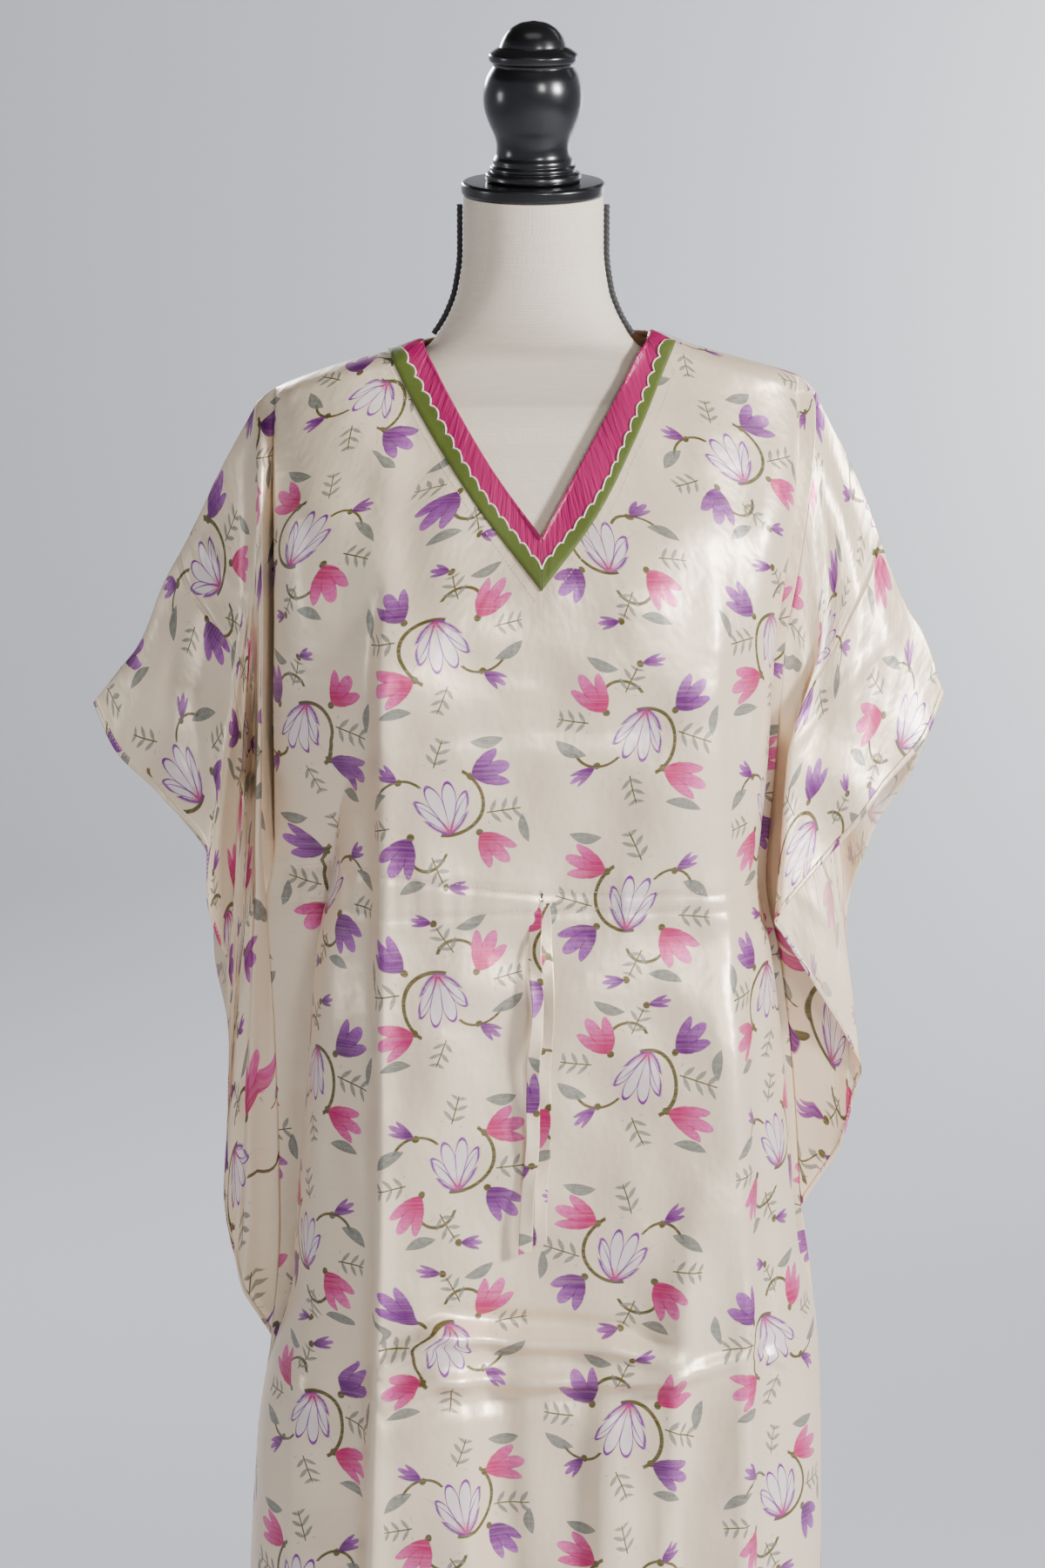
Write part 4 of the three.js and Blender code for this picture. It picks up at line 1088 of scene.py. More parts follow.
def arc(web, x, y, place, degrees, radius, width, cut_at):
    """A part of a ring, for a bent stem."""
    along, across = turned_to(web, x, y, place, degrees)
    far = web.math("SQRT", web.math("MULTIPLY_ADD", along, along, across * across))
    return ((width - abs(far - radius)) / 0.7).kept() * ((along - cut_at) / 1.2).kept()


# One repeat of the print, in a half drop: kind, place, direction, then sizes.
REPEAT_WIDE, REPEAT_TALL = 142.0, 134.0
TIGHTER = 1.34
BLOOMS = [
    ("outline", (8, 22), -102, 56, 4, 90), ("first", (-32, 22), 122, 46, 3, 84),
    ("second", (38, 20), 44, 44, 3, 84), ("first", (30, -38), -20, 46, 3, 80),
    ("bud", (-40, -34), -146, 29, 3, 56), ("bud", (6, 72), 8, 25, 3, 56),
]
STEMS = [((6, -12), 20, 35, 2.3, 4), ((-15, 34), 84, 21, 2.0, 8), ((-38, -9), -100, 26, 1.8, 13)]
SPRIGS = [((46, -2), -12, 36, 12), ((-10, 44), 62, 28, 11), ((-4, -48), -72, 29, 11),
          ((-52, 12), 172, 30, 11)]
LEAVES = [((-68, -16), 150, 18, 6.4), ((-32, 70), 160, 17, 6), ((50, -72), -10, 18, 6),
          ((82, 12), 80, 16, 5.6)]
PRINT = {
    "first": ((0.50, 0.001, 0.12), (0.86, 0.17, 0.46)),
    "second": ((0.13, 0.003, 0.15), (0.46, 0.13, 0.50)),
    "white": (0.82, 0.72, 0.74), "leaf": (0.05, 0.06, 0.055), "leaf_light": (0.25, 0.27, 0.23),
    "stem": (0.10, 0.078, 0.010), "line": (0.19, 0.004, 0.27),
}


def printed(web, ground):
    """The colour of the printed cloth: flowers, twigs and leaves in a half-drop repeat."""
    u, v = web.cut()
    still = u, v
    u, v = (u + web.math("SINE", v / 19.0 + web.math("SINE", u / 31.0) * 1.5) * 2.2,
            v + web.math("SINE", u / 23.0 + web.math("SINE", v / 41.0) * 1.5) * 2.2)
    column = web.math("FLOOR", u / REPEAT_WIDE)
    odd = column % 2.0
    drop = v / REPEAT_TALL + odd * 0.5
    row = web.math("FLOOR", drop)
    flip = 1.0 - odd * 2.0
    tumble = 1.0 - ((row + column) % 2.0) * 2.0
    luck = web.node("ShaderNodeTexWhiteNoise", {"noise_dimensions": "2D"},
                    {"Vector": web.place(column, row)})
    x = (u - column * REPEAT_WIDE - REPEAT_WIDE / 2) * flip * tumble * TIGHTER + (luck - 0.5) * 14.0
    y = (drop - row - 0.5) * REPEAT_TALL * tumble * TIGHTER + (luck * 7.0 % 1.0 - 0.5) * 10.0
    streak = web.noise(web.place(u, v), 0.35, 1.5)
    colour = ground
    for place, degrees, radius, width, cut_at in STEMS:
        bent = arc(web, x, y, place, degrees, radius, width, cut_at)
        colour = web.blend(bent, colour, PRINT["stem"])
    for place, degrees, long, pitch in SPRIGS:
        leaves, twig = sprig(web, x, y, place, degrees, long, pitch)
        tone = web.blend(streak, PRINT["leaf"], PRINT["leaf_light"])
        colour = web.blend(leaves * 0.8, colour, tone)
        colour = web.blend(twig, colour, PRINT["stem"])
    for place, degrees, long, wide in LEAVES:
        mask, vein = leaf(web, x, y, place, degrees, long, wide)
        tone = web.blend((streak + vein * 0.4).kept(), PRINT["leaf"], PRINT["leaf_light"])
        colour = web.blend(mask * 0.9, colour, tone)
    # In two repeats of five the two flower colours change places.
    swap = (luck * 40.0 - 24.0).kept()
    for kind, place, degrees, size, petals, fan in BLOOMS:
        bloom = Bloom(web, x, y, place, degrees, size, petals, fan)
        if kind == "outline":
            colour = web.blend(bloom.mask * 0.75, colour, PRINT["white"])
            lines = web.math("MAXIMUM", web.math("MAXIMUM", bloom.rim, bloom.flank), bloom.rib)
            colour = web.blend((lines * (streak * 0.6 + 0.9)).kept(), colour, PRINT["line"])
            colour = web.blend(bloom.curl * 0.9, colour, PRINT["line"])
            heart = (1.0 - bloom.out * 3.4).kept() * bloom.mask
            colour = web.blend(heart, colour, PRINT["first"][0])
            continue
        first, second = PRINT["first"], PRINT["second"]
        if kind == "second":
            first, second = second, first
        if kind == "bud":
            first = second
        deep = web.blend(swap, first[0], second[0])
        light = web.blend(swap, first[1], second[1])
        wash = ((bloom.out - 0.26) * (streak * 1.6 + 0.3)).kept()
        tone = web.blend(wash, deep, light)
        tone = web.blend((bloom.rib + bloom.flank * 0.7).kept(), tone, deep)
        colour = web.blend(bloom.mask, colour, tone)
        colour = web.blend(bloom.foot, colour, PRINT["stem"])
    return colour, *still


def satin(name, faded=0.0):
    """Printed satin: smooth, with a fine weave and faint crumpling."""
    web = Web(name)
    ground = colours().ground[:]
    colour, u, v = printed(web, ground)
    if faded:
        colour = web.blend(faded, colour, toned(ground, 0.96))
    threads = web.noise(web.place(u * 0.35, v * 2.4), 1.0, 1.0)
    slub = web.noise(web.place(u * 0.02, v * 0.5), 1.0, 1.0)
    colour = web.blend((slub - 0.42).kept() * 0.5, colour, toned(ground, 0.86))
    crumple = web.noise(web.place(u * 0.045, v * 0.035), 1.0, 2.0, 0.55)
    small = web.noise(web.place(u * 0.19, v * 0.11), 1.0, 1.0)
    relief = web.bump(crumple + small * 0.14 + threads * 0.02, 0.0013)
    rough = web.math("MULTIPLY_ADD", small, 0.10, 0.34 + 0.12 * faded)
    return web.set(Base_Color=colour, Roughness=rough, Normal=relief, Metallic=0.3 - 0.25 * faded,
                   Specular_IOR_Level=0.8)


def magenta_satin():
    web = Web("Magenta satin")
    u, v = web.cut()
    crease_relief_and_sheen = web.noise(web.place(u * 0.03, v * 0.22), 1.0, 2.0)
    threads = web.noise(web.place(u * 2.0, v * 0.4), 1.0, 2.0)
    base = colours().magenta[:]
    # The colour turns lighter on the crease ridges: painted sheen that follows the crease relief.
    colour = web.blend(crease_relief_and_sheen, base, toned(base, 1.25, 0.01))
    relief = web.bump(crease_relief_and_sheen, 0.0016)
    relief = web.bump(threads, 0.00012, 0.5, under=relief)
    return web.set(Base_Color=colour, Roughness=0.36, Normal=relief, Specular_IOR_Level=0.5)


def green_ribbon():
    web = Web("Green ribbon")
    u, v = web.cut()
    pile = web.noise(web.place(u * 1.3, v * 1.3), 1.0, 3.0)
    base = colours().green[:]
    colour = web.blend(pile, toned(base, 0.55), toned(base, 1.7))
    relief = web.bump(pile, 0.0004, 0.8)
    return web.set(Base_Color=colour, Roughness=0.62, Normal=relief, Sheen_Weight=0.5,
                   Sheen_Roughness=0.35)


def thread(name, base):
    web = Web(name)
    twist = web.noise(web.object_place(), 900.0, 2.0)
    colour = web.blend(twist, toned(base, 0.8), toned(base, 1.08))
    return web.set(Base_Color=colour, Roughness=0.55, Normal=web.bump(twist, 0.0002, 0.6))


def linen():
    """Slubby plain weave of the dress form's cover."""
    web = Web("Linen")
    u, v = web.cut()
    warp = web.math("SINE", u * 7.5 + web.noise(web.place(u * 0.3, v * 0.02), 1.0, 2.0) * 4.0)
    weft = web.math("SINE", v * 6.5 + web.noise(web.place(u * 0.02, v * 0.3), 1.0, 2.0) * 4.0)
    slub = web.noise(web.place(u * 0.45, v * 0.05), 1.0, 3.0)
    bar = web.noise(web.place(u * 0.04, v * 0.6), 1.0, 3.0)
    base = colours().linen[:]
    shade = (slub * 0.6 + bar * 0.5 + (warp + weft) * 0.05 - 0.05).kept()
    colour = web.blend(shade, toned(base, 0.80), toned(base, 1.10))
    relief = web.bump(warp * 0.3 + weft * 0.3 + slub, 0.0004, 0.8)
    return web.set(Base_Color=colour, Roughness=0.88, Normal=relief, Sheen_Weight=0.1)


def lacquer():
    """Black satin lacquer on turned wood, with faint dust."""
    web = Web("Black lacquer")
    place = web.object_place()
    dust = web.noise(place, 60.0, 5.0, 0.65)
    haze = web.noise(place, 7.0, 3.0)
    base = colours().black[:]
    colour = web.blend((dust - 0.62).kept() * 0.5, base, (0.05, 0.05, 0.05))
    rough = web.math("MULTIPLY_ADD", haze, 0.12, 0.2)
    relief = web.bump(haze + dust * 0.1, 0.0006, 0.25)
    return web.set(Base_Color=colour, Roughness=rough, Normal=relief, Coat_Weight=0.25,
                   Coat_Roughness=0.15)


def braid():
    web = Web("Black braid and hole shade")
    fibre = web.noise(web.object_place(), 1400.0, 2.0)
    colour = web.blend(fibre, (0.004, 0.004, 0.005), (0.035, 0.035, 0.038))
    return web.set(Base_Color=colour, Roughness=0.6, Normal=web.bump(fibre, 0.0003, 0.7),
                   Sheen_Weight=0.2)


def wall_paint():
    web = Web("Wall")
    grain = web.noise(web.object_place(), 260.0, 3.0)
    base = colours().wall[:]
    colour = web.blend(grain, toned(base, 0.96), toned(base, 1.03))
    return web.set(Base_Color=colour, Roughness=0.95)


MAKERS = {
    "Satin": lambda: satin("Satin"),
    "Satin wrong side": lambda: satin("Satin wrong side", faded=0.45),
    "Magenta satin": magenta_satin,
    "Green ribbon": green_ribbon,
    "Thread": lambda: thread("Thread", colours().thread[:]),
    "Linen": linen,
    "Black lacquer": lacquer,
    "Black braid and hole shade": braid,
    "Wall": wall_paint,
}


class KAFTAN_OT_camera(bpy.types.Operator):
    """Places the camera where the photo's camera stood."""

    bl_idname = "kaftan.camera"
    bl_label = "Camera"

    def execute(self, context):
        data = bpy.data.cameras.new("camera")
        data.sensor_fit = "VERTICAL"
        data.sensor_height = 24
        data.lens = data.sensor_height * EYE_FOCAL / (2 * EYE_MID_Y)
        camera = bpy.data.objects.new("camera", data)
        context.scene.collection.objects.link(camera)
        camera.location = (EYE_SIDE * MM, -EYE_BACK * MM, EYE_UP * MM)
        camera.rotation_euler = (math.pi / 2 - EYE_TILT, 0, 0)
        context.scene.camera = camera
        return {"FINISHED"}


class KAFTAN_OT_ties(bpy.types.Operator):
    """Hangs the two flat ties from the opening in the waist casing."""

    bl_idname = "kaftan.ties"
    bl_label = "Waist ties"

    def execute(self, context):
        for hand, wide, start, off, print_at, rows in TIES:
            self.tie(hand, wide, start, off, print_at, rows)
        return {"FINISHED"}

    def tie(self, hand, wide, start, off, print_at, rows):
        spots = [see(px, py, -128.0) for px, py, _ in rows]
        run = Curve([(-spot[2], spot[0], row[2]) for spot, row in zip(spots, rows)])
        z = np.linspace(spots[0][2], spots[-1][2], 150)
        x, twist = np.moveaxis(run(-z), -1, 0)
        near = np.min([front_depth(x + beside, z) for beside in (-6, 0, 6)], axis=0)
        y = near - mix(start, off, ease(z[0] - z, 3, 45))
        middle = np.stack([x, y, z], -1)
        angle = np.radians(twist)[:, None]
        around = np.linspace(0, 2 * np.pi, 25)
        across = np.sign(np.cos(around)) * np.abs(np.cos(around)) ** 0.6 * wide / 2
        thick = np.sin(around) * (0.55 + 0.25 * np.cos(2 * around))
        gather = 1 - 0.3 * np.exp(-((z[0] - z) / 14) ** 2)[:, None]
        wave = 0.5 * np.sin(z / 9)[:, None] * (np.abs(across) / wide)
        a, b = across * gather, thick + wave
        c, s = np.cos(angle), np.sin(angle)
        slant = 2.5 * across / wide * ease(spots[-1][2] + 12 - z, 0, 12)[:, None]
        tube = np.stack([middle[:, :1] + a * c - b * s, middle[:, 1:2] + a * s + b * c,
                         middle[:, 2:] + slant], -1)
        flat = np.stack(np.broadcast_arrays(print_at[0] + across, print_at[1] + z[:, None]), -1)
        grids = [(tube, flat), *cap_grids(tube, flat, middle)]
        mesh = grid_mesh(f"tie_{hand}", grids, turn=True)
        thing = shown(f"tie_{hand}_cloth", mesh, cloth("Satin"))
        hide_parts(f"tie_{hand}")
        long = float(lengths(middle)[-1]) * MM


# Each tie: side, width, how far it stands off at its start and below, its spot in the print,
# and rows of picture x, picture y and twist in degrees.
TIES = [
    ("left", 10.5, 3.7, 9.5, (322, 40),
     [(617, 1038, 0), (614, 1090, -22), (618, 1160, 34), (612, 1230, -18), (612, 1300, 16),
      (606, 1370, -14), (603, 1432, 10)]),
    ("right", 10.5, 1.9, 4.2, (186, -60),
     [(626, 1038, 0), (627, 1090, 18), (629, 1160, -24), (625, 1230, 14), (625, 1300, -20),
      (621, 1370, 18), (620, 1424, -4)]),
]


class KAFTAN_OT_layers(bpy.types.Operator):
    """Drapes the front and the back with their sleeve strips."""

    bl_idname = "kaftan.layers"
    bl_label = "Cloth layers"

    def execute(self, context):
        for side, front in SIDES.items():
            panel, strips = layer_grids(front, sizes())
            mesh = grid_mesh(side, panel, turn=not front)
            drapes[side] = Drape(mesh, front)
            self.finish_cloth(mesh, side, f"{side}_cloth", (1.0, 1.36))
            for name, grids in strips.items():
                mesh = grid_mesh(f"strip_{side}_{name}", grids, turn=not front)
                self.finish_cloth(mesh, f"sleeve_strip_{side}_{name}", f"{side}_{name}_strip_cloth",
                                  (0.14, 0.42))
        return {"FINISHED"}

    def finish_cloth(self, mesh, node, name, flat):
        piece = shown(name, mesh, cloth("Satin"), cloth("Satin wrong side"))
        thicken(piece, sizes().cloth_thickness, inner=1)
        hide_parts(node)


class KAFTAN_OT_hems(bpy.types.Operator):
    """Turns a narrow hem along every free edge and sews it."""

    bl_idname = "kaftan.hems"
    bl_label = "Hems"

    def execute(self, context):
        wide = sizes().hem_width / MM
        length, width = sizes().stitch_length / MM, sizes().thread_width / MM
        for side, front in SIDES.items():
            away = -1 if front else 1
            bands, sewn = [], []
            runs = [self.bottom(front, wide)] + [self.wing(name, front, wide) for name in WINGS]
            for outer, inner in runs:
                turn = np.tile([0.0, float(away), 0.0], (len(outer), 1))
                shares = np.array([0, 0.12, 0.3, 0.6, 0.9, 1.0])
                lift = np.array([0.1, 0.75, 0.95, 0.95, 0.9, 0.35])
                band = outer[:, None] + (inner - outer)[:, None] * shares[None, :, None]
                band[..., 1] += away * lift
                facing = np.cross(band[2, 0] - band[1, 0], band[1, -1] - band[1, 0])
                if facing[1] * away < 0:
                    band = band[:, ::-1]
                gone = np.cumsum(np.linalg.norm(np.diff(outer, axis=0, prepend=outer[:1]), axis=1))
                flat = np.broadcast_arrays(shares * wide + outer[:, :1], gone[:, None])
                flat = np.stack(flat, -1)
                bands.append((band, flat))
                row = mix(outer, inner, 0.82) + turn * 1.25
                sewn += stitch_grids(row, turn, length, 0.9, width)
            piece = shown(f"hem_{side}", grid_mesh(f"hem_{side}", bands), cloth("Satin"))
            thicken(piece, sizes().cloth_thickness * 0.7)
            shown(f"hem_stitches_{side}", grid_mesh(f"hem_stitches_{side}", sewn), cloth("Thread"))
        return {"FINISHED"}

    def bottom(self, front, wide):
        t = np.linspace(0, 9, 320)
        lines = []
        for height in (HEM_HEIGHT, HEM_HEIGHT + wide):
            z = np.full_like(t, height)
            x = column_x(t[None], z[None])[0]
            lines.append(np.stack([x, body_depth(x, z, front), z], -1))
        return lines

    def wing(self, name, front, wide):
        t = np.linspace(0, 0.985, 260)
        ends, _ = wing_grid(name, front, t, np.stack([np.zeros_like(t), np.ones_like(t)], -1))
        long = np.linalg.norm(ends[:, 1] - ends[:, 0], axis=1)
        shares = np.stack([np.ones_like(t), 1 - wide / long], -1)
        places, _ = wing_grid(name, front, t, shares)
        return [places[:, 0], places[:, 1]]


class KAFTAN_OT_neck_bands(bpy.types.Operator):
    """Lays the magenta bands, the scalloped ribbons and their cord edge round the neck."""

    bl_idname = "kaftan.neck_bands"
    bl_label = "Neck bands"

    def execute(self, context):
        drape = drapes["front"]
        for hand in BANDS:
            lines = {k: flat_path(v) for k, v in BANDS[hand].items()}
            lines["inner"] = neck_edge(hand)

            def spot(name, t):
                x, _, z = lines[name](t)
                return float(x), float(z)

            shares = [0, 0, 0.045, 0.12, 0.3, 0.5, 0.7, 0.9]
            lift = [0, 0, 1.0, 1.15, 1.1, 1.1, 1.1, 0.9]
            grid = band_grid(drape, hand, 150, shares,
                             lambda t: (spot("inner", t), spot("outer", t)), lift, lines["inner"])
            self.lay(f"band_{hand}", f"neck_band_{hand}", "magenta", "Magenta satin", hand, grid)
            count, deep = sizes().scallops, sizes().scallop_depth / MM

            def ribbon(t):
                a, b = spot("scallop", t), spot("outer", t)
                wide = math.hypot(a[0] - b[0], a[1] - b[1])
                bump = deep * (abs(math.sin(math.pi * count * t)) ** 0.8 - 0.15) / wide
                return (mix(a[0], b[0], -bump), mix(a[1], b[1], -bump)), b

            steps = count * 14
            shares = [0.0, 0.06, 0.2, 0.45, 0.7, 0.93, 0.99]
            lift = [1.5, 1.95, 2.0, 2.0, 2.0, 1.9, 1.3]
            grid = band_grid(drape, hand, steps, shares, ribbon, lift)
            node = f"scallop_ribbon_{hand}"
            self.lay(f"ribbon_{hand}", node, "green", "Green ribbon", hand, grid)
            edge = grid[0][:, 0] + np.array([0, -0.55, 0])
            shown(f"scallop_cord_{hand}",
                  grid_mesh("scallop_cord", tube_grid(edge, 0.72, 8, twisted)), cloth("Thread"))
        return {"FINISHED"}

    def lay(self, name, node, slot, material, hand, grid):
        grid = faced(grid, hand)
        mesh = grid_mesh(name, [grid])
        piece = shown(name, mesh, cloth(material))
        thicken(piece, 0.0006)
        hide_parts(node)
        long = float(lengths(grid[0][:, 2])[-1]) * MM


BUTTONHOLE_AT, BUTTONHOLE_STITCHES = (622, 1030), 44


class KAFTAN_OT_sewing(bpy.types.Operator):
    """Sews the facing, the waist casing and the buttonhole."""

    bl_idname = "kaftan.sewing"
    bl_label = "Sewing"

    def execute(self, context):
        length, width = sizes().stitch_length / MM, sizes().thread_width / MM
        grids = []
        for hand in BANDS:
            grids += self.run(drapes["front"], flat_path(BANDS[hand]["stitches"]), length, width)
        for row in CASING:
            points = path([see(px, py, -118.0) * (1, 0, 1) for px, py in row])
            for side in drapes:
                grids += self.run(drapes[side], points, length, width)
        shown("topstitches", grid_mesh("topstitches", grids), cloth("Thread"))
        self.buttonhole(width)
        return {"FINISHED"}

    def run(self, drape, line_at, length, width):
        found = [drape.at(p[0], p[2], 0.45) for p in line_at(np.linspace(0.004, 0.996, 240))]
        places, turns = [f[0] for f in found], [f[1] for f in found]
        return stitch_grids(places, turns, length, 0.8, width)

    def buttonhole(self, width):
        x, _, z = see(*BUTTONHOLE_AT, -122.0)
        grids = []
        for k in range(BUTTONHOLE_STITCHES):
            angle = k / BUTTONHOLE_STITCHES * 2 * math.pi
            a, b = math.cos(angle), math.sin(angle)
            ends = [drapes["front"].at(x + a * r, z + b * 3.0 * r, 0.6) for r in (1.1, 2.4)]
            places = [mix(ends[0][0], ends[1][0], w) for w in np.linspace(0, 1, 5)]
            grids += stitch_grids(places, [ends[0][1]] * 5, 1.25, 0.1, width * 1.3)
        shown("buttonhole", grid_mesh("buttonhole", grids), cloth("Thread"))
        # A thin black sheet laid in the slit is painted shade: it stands for the dark inside the
        # opening.
        slit_shade = []
        for c in np.linspace(-1, 1, 5):
            half = 0.7 * math.sqrt(1 - 0.9 * c * c)
            slit_shade.append([drapes["front"].at(x + half * a, z + 5.4 * c, 0.5)[0] for a in (-1, 0, 1)])
        slit_shade = np.array(slit_shade)
        shown("buttonhole_shade", grid_mesh("slit_shade", [(slit_shade, slit_shade[..., ::2])]), cloth("Black braid and hole shade"))


class KAFTAN_OT_form(bpy.types.Operator):
    """Makes the smooth linen dress form."""

    bl_idname = "kaftan.form"
    bl_label = "Dress form"

    def execute(self, context):
        z = np.concatenate([np.linspace(FORM_FOOT, 1340, 90), np.linspace(1346, FORM_TOP, 80)])
        wide, near, far, square = FORM_AT(z).T[:, :, None]
        angle = np.linspace(0, 2 * np.pi, 129)
        c, s = np.cos(angle), np.sin(angle)
        x = wide * np.sign(c) * np.abs(c) ** (2 / square)
        middle = (near + far) / 2
        y = middle + (far - near) / 2 * np.sign(s) * np.abs(s) ** (2 / square)
        lean = math.tan(NECK_TILT) * ease(z, 1450, FORM_TOP)[:, None]
        side = np.stack([x, y, z[:, None] + lean * (y - middle)], -1)
        steps = np.linalg.norm(np.diff(side, axis=1), axis=2)
        gone = np.concatenate([np.zeros((len(z), 1)), np.cumsum(steps, 1)], 1)
        grids = [(side, np.stack([gone, side[..., 2]], -1))]
        for end in (0, -1):
            centre = np.broadcast_to(side[end].mean(0), side[end].shape)
            both = np.stack([centre, side[end]] if end == 0 else [side[end], centre])
            grids.append((both, both[..., :2]))
        piece = shown("form_cover", grid_mesh("form_cover", grids, turn=True), cloth("Linen"))
        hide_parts("form_torso")
        return {"FINISHED"}


DISC = [(0, 0), (54, 0, 1.2), (55.5, 1.6, 1), (55.5, 8.4, 1.4), (53.6, 10, 1.4), (0, 10)]
FINIAL = [
    (0, 0), (36, 0, 1), (37.2, 2, 1.5), (36.4, 6, 1.2), (33, 7.4, 0.8), (32.6, 8.2, 0.5),
    (33.4, 9, 0.6), (33.2, 11, 0.8), (31, 12.6, 0.8), (31, 16, 1.5), (28.6, 20, 2.5), (28, 27, 4),
    (29.6, 34, 5), (34, 43, 6), (37.6, 53, 6), (38.6, 62, 6), (37.9, 71, 6), (35.3, 79.5, 4),
    (31.4, 85.6, 1), (30.6, 87, 0.6), (31.2, 88.6, 0.6), (34, 90.6, 1.4), (34.2, 95.6, 1.6),
    (29.2, 99, 1.6), (25.6, 100.8, 1), (24.6, 104, 2), (22.6, 108.6, 3), (17.6, 114.8, 4),
    (10, 119, 3), (0, 120.5),
]
BASE = [(0, 0), (163, 0, 1), (165, 2, 1), (165, 13, 4), (159, 18, 3), (0, 18)]
POLE = [(0, 0), (14, 0), (14, 751.4), (0, 751.4)]
POLE_DEPTH = 4


class KAFTAN_OT_stand(bpy.types.Operator):
    """Turns the neck disc, the finial, the pole and the base."""

    bl_idname = "kaftan.stand"
    bl_label = "Stand"

    def execute(self, context):
        for name, profile, lift in (("neck_disc", DISC, 0.3), ("finial", FINIAL, 10.6)):
            places, flat = lathe_grid(rounded(profile), 96)
            self.put(name, (on_neck(places, lift), flat), "lacquer")
        self.put("stand_base", lathe_grid(rounded(BASE), 128), "base")
        places, flat = lathe_grid(POLE, 40)
        places = places + np.array([0, POLE_DEPTH, 18.3])
        self.put("stand_pole", (places, flat), "pole")
        return {"FINISHED"}

    def put(self, node, grid, slot):
        piece = shown(f"{node}_turned", grid_mesh(node, [grid], turn=True), cloth("Black lacquer"))
        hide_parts(node)


CORD_SPAN = [1534, 1500, 1470, 1452, 1440, 1434]


class KAFTAN_OT_side_cords(bpy.types.Operator):
    """Braids a cord down each side of the neck."""

    bl_idname = "kaftan.side_cords"
    bl_label = "Side cords"

    def execute(self, context):
        radius = sizes().cord_radius / MM
        for hand, sign in (("left", -1), ("right", 1)):
            rows = []
            for z in CORD_SPAN:
                wide, near, far, _ = FORM_AT(float(z))
                rise = 1.6 * float(ease(1455 - z, 0, 24))
                rows.append((sign * (wide + radius + 0.6), (near + far) / 2 + 6, z + rise))
            places = path(rows)(np.linspace(0, 1, 260))
            grids = tube_grid(places, radius, 20, plaited)
            mesh = grid_mesh("side_cord", grids)
            piece = shown(f"side_cord_{hand}_braid", mesh, cloth("Black braid and hole shade"))
            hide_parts(f"side_cord_{hand}")
        return {"FINISHED"}


# The round room: the flat floor's radius, the radius of the curved foot, and the wall's height.
ROOM = (3000, 3600, 4600)


class KAFTAN_OT_stage(bpy.types.Operator):
    """A plain pale floor and wall, and soft light."""

    bl_idname = "kaftan.stage"
    bl_label = "Stage"

    def execute(self, context):
        flat, round_foot, high = ROOM
        sweep = [(flat + round_foot * math.sin(a), round_foot - round_foot * math.cos(a))
                 for a in np.linspace(0, np.pi / 2, 24)]
        profile = [(0, 0), *sweep, (flat + round_foot, high)]
        mesh = grid_mesh("backdrop", [lathe_grid(profile, 96)])
        wall = bpy.data.objects.new("backdrop", mesh)
        context.scene.collection.objects.link(wall)
        mesh.materials.append(cloth("Wall"))
        mesh.polygons.foreach_set("use_smooth", [True] * len(mesh.polygons))
        wall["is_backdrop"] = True
        world = bpy.data.worlds.new("Studio")
        world.use_nodes = True
        sky = world.node_tree.nodes["Background"].inputs
        sky["Color"].default_value = (1, 0.98, 0.95, 1)
        sky["Strength"].default_value = 0.06
        context.scene.world = world
        for name, place, aim, wide, power in LIGHTS:
            data = bpy.data.lights.new(name, "AREA")
            data.size = wide
            data.energy = power
            lamp = bpy.data.objects.new(name, data)
            context.scene.collection.objects.link(lamp)
            lamp.location = place
            lamp.visible_camera = False
            lamp.rotation_euler = (Vector(aim) - Vector(place)).to_track_quat("-Z", "Y").to_euler()
        return {"FINISHED"}


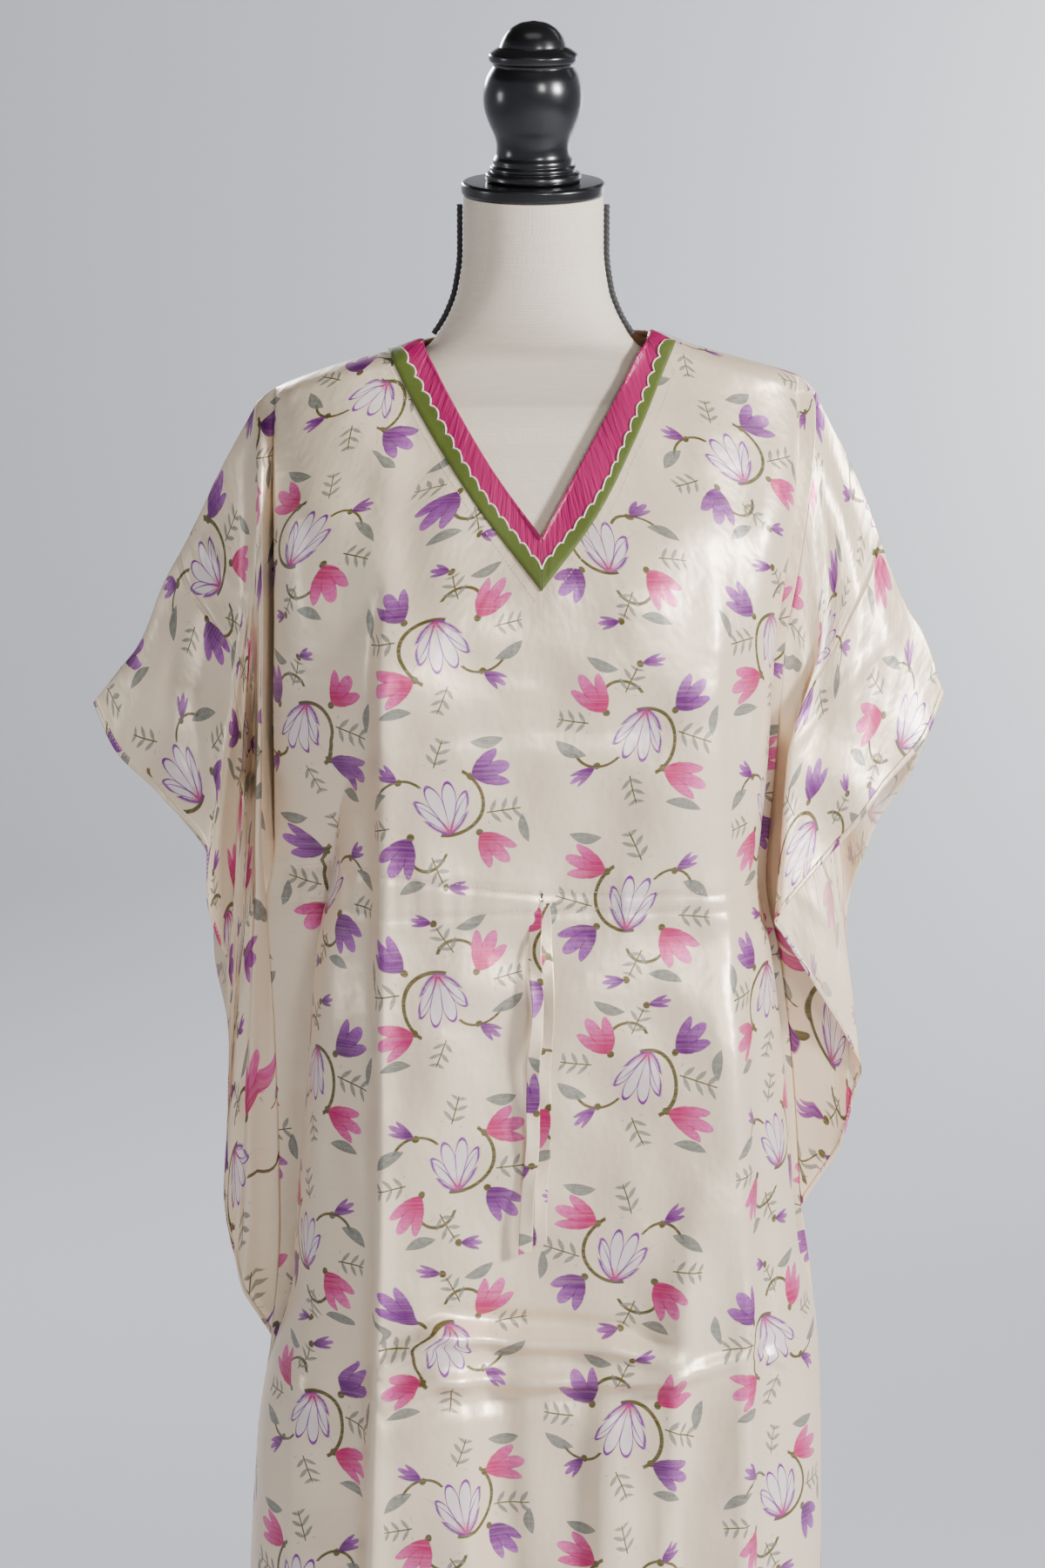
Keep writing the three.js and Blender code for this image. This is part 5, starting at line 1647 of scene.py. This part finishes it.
# Soft lamps: place, what they look at, width and power.
LIGHTS = [
    ("key", (2.5, -1.7, 2.2), (0, 0, 1.0), 0.55, 185),
    ("front", (1.2, -3.4, 2.4), (0, 0, 1.15), 0.6, 40),
    ("fill", (-2.6, -0.4, 1.6), (0, 0, 1.0), 0.5, 8),
    ("back", (-1.3, 3.2, 2.6), (0, 0, 1.0), 0.7, 80),
    ("wall", (3.0, 4.2, 2.6), (1.6, 6.6, 1.4), 1.0, 185),
    ("sweep", (3.0, 2.2, 4.6), (2.6, 6.2, 1.3), 2.4, 70),
    ("room", (0, -2.6, 5.6), (0, -5.8, 0.9), 3.0, 45),
]


class KAFTAN_PT_panel(bpy.types.Panel):
    """Sidebar panel with one button per group of pieces."""

    bl_label = "Kaftan"
    bl_idname = "KAFTAN_PT_panel"
    bl_space_type = "VIEW_3D"
    bl_region_type = "UI"
    bl_category = "Kaftan"

    def draw(self, context):
        for group in (context.scene.kaftan_sizes, context.scene.kaftan_colours):
            for name in group.__annotations__:
                self.layout.prop(group, name)
        for operator in STEPS:
            self.layout.operator(operator.bl_idname)


STEPS = (KAFTAN_OT_camera, KAFTAN_OT_ties, KAFTAN_OT_layers, KAFTAN_OT_hems, KAFTAN_OT_neck_bands,
         KAFTAN_OT_sewing, KAFTAN_OT_form, KAFTAN_OT_stand, KAFTAN_OT_side_cords, KAFTAN_OT_stage)
CLASSES = (KaftanSizes, KaftanColours, *STEPS, KAFTAN_PT_panel)


def register():
    for one in CLASSES:
        bpy.utils.register_class(one)
    bpy.types.Scene.kaftan_sizes = PointerProperty(type=KaftanSizes)
    bpy.types.Scene.kaftan_colours = PointerProperty(type=KaftanColours)


def unregister():
    del bpy.types.Scene.kaftan_colours
    del bpy.types.Scene.kaftan_sizes
    for one in reversed(CLASSES):
        bpy.utils.unregister_class(one)


def main():
    register()
    for operator in STEPS:
        group, name = operator.bl_idname.split(".")
        getattr(getattr(bpy.ops, group), name)()
    visual_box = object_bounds()
    boxes = {"cad": cad_box, "visual": visual_box}
    plain_boxes = {k: [[float(n) for n in corner] for corner in box] for k, box in boxes.items()}


if __name__ == "__main__":
    main()
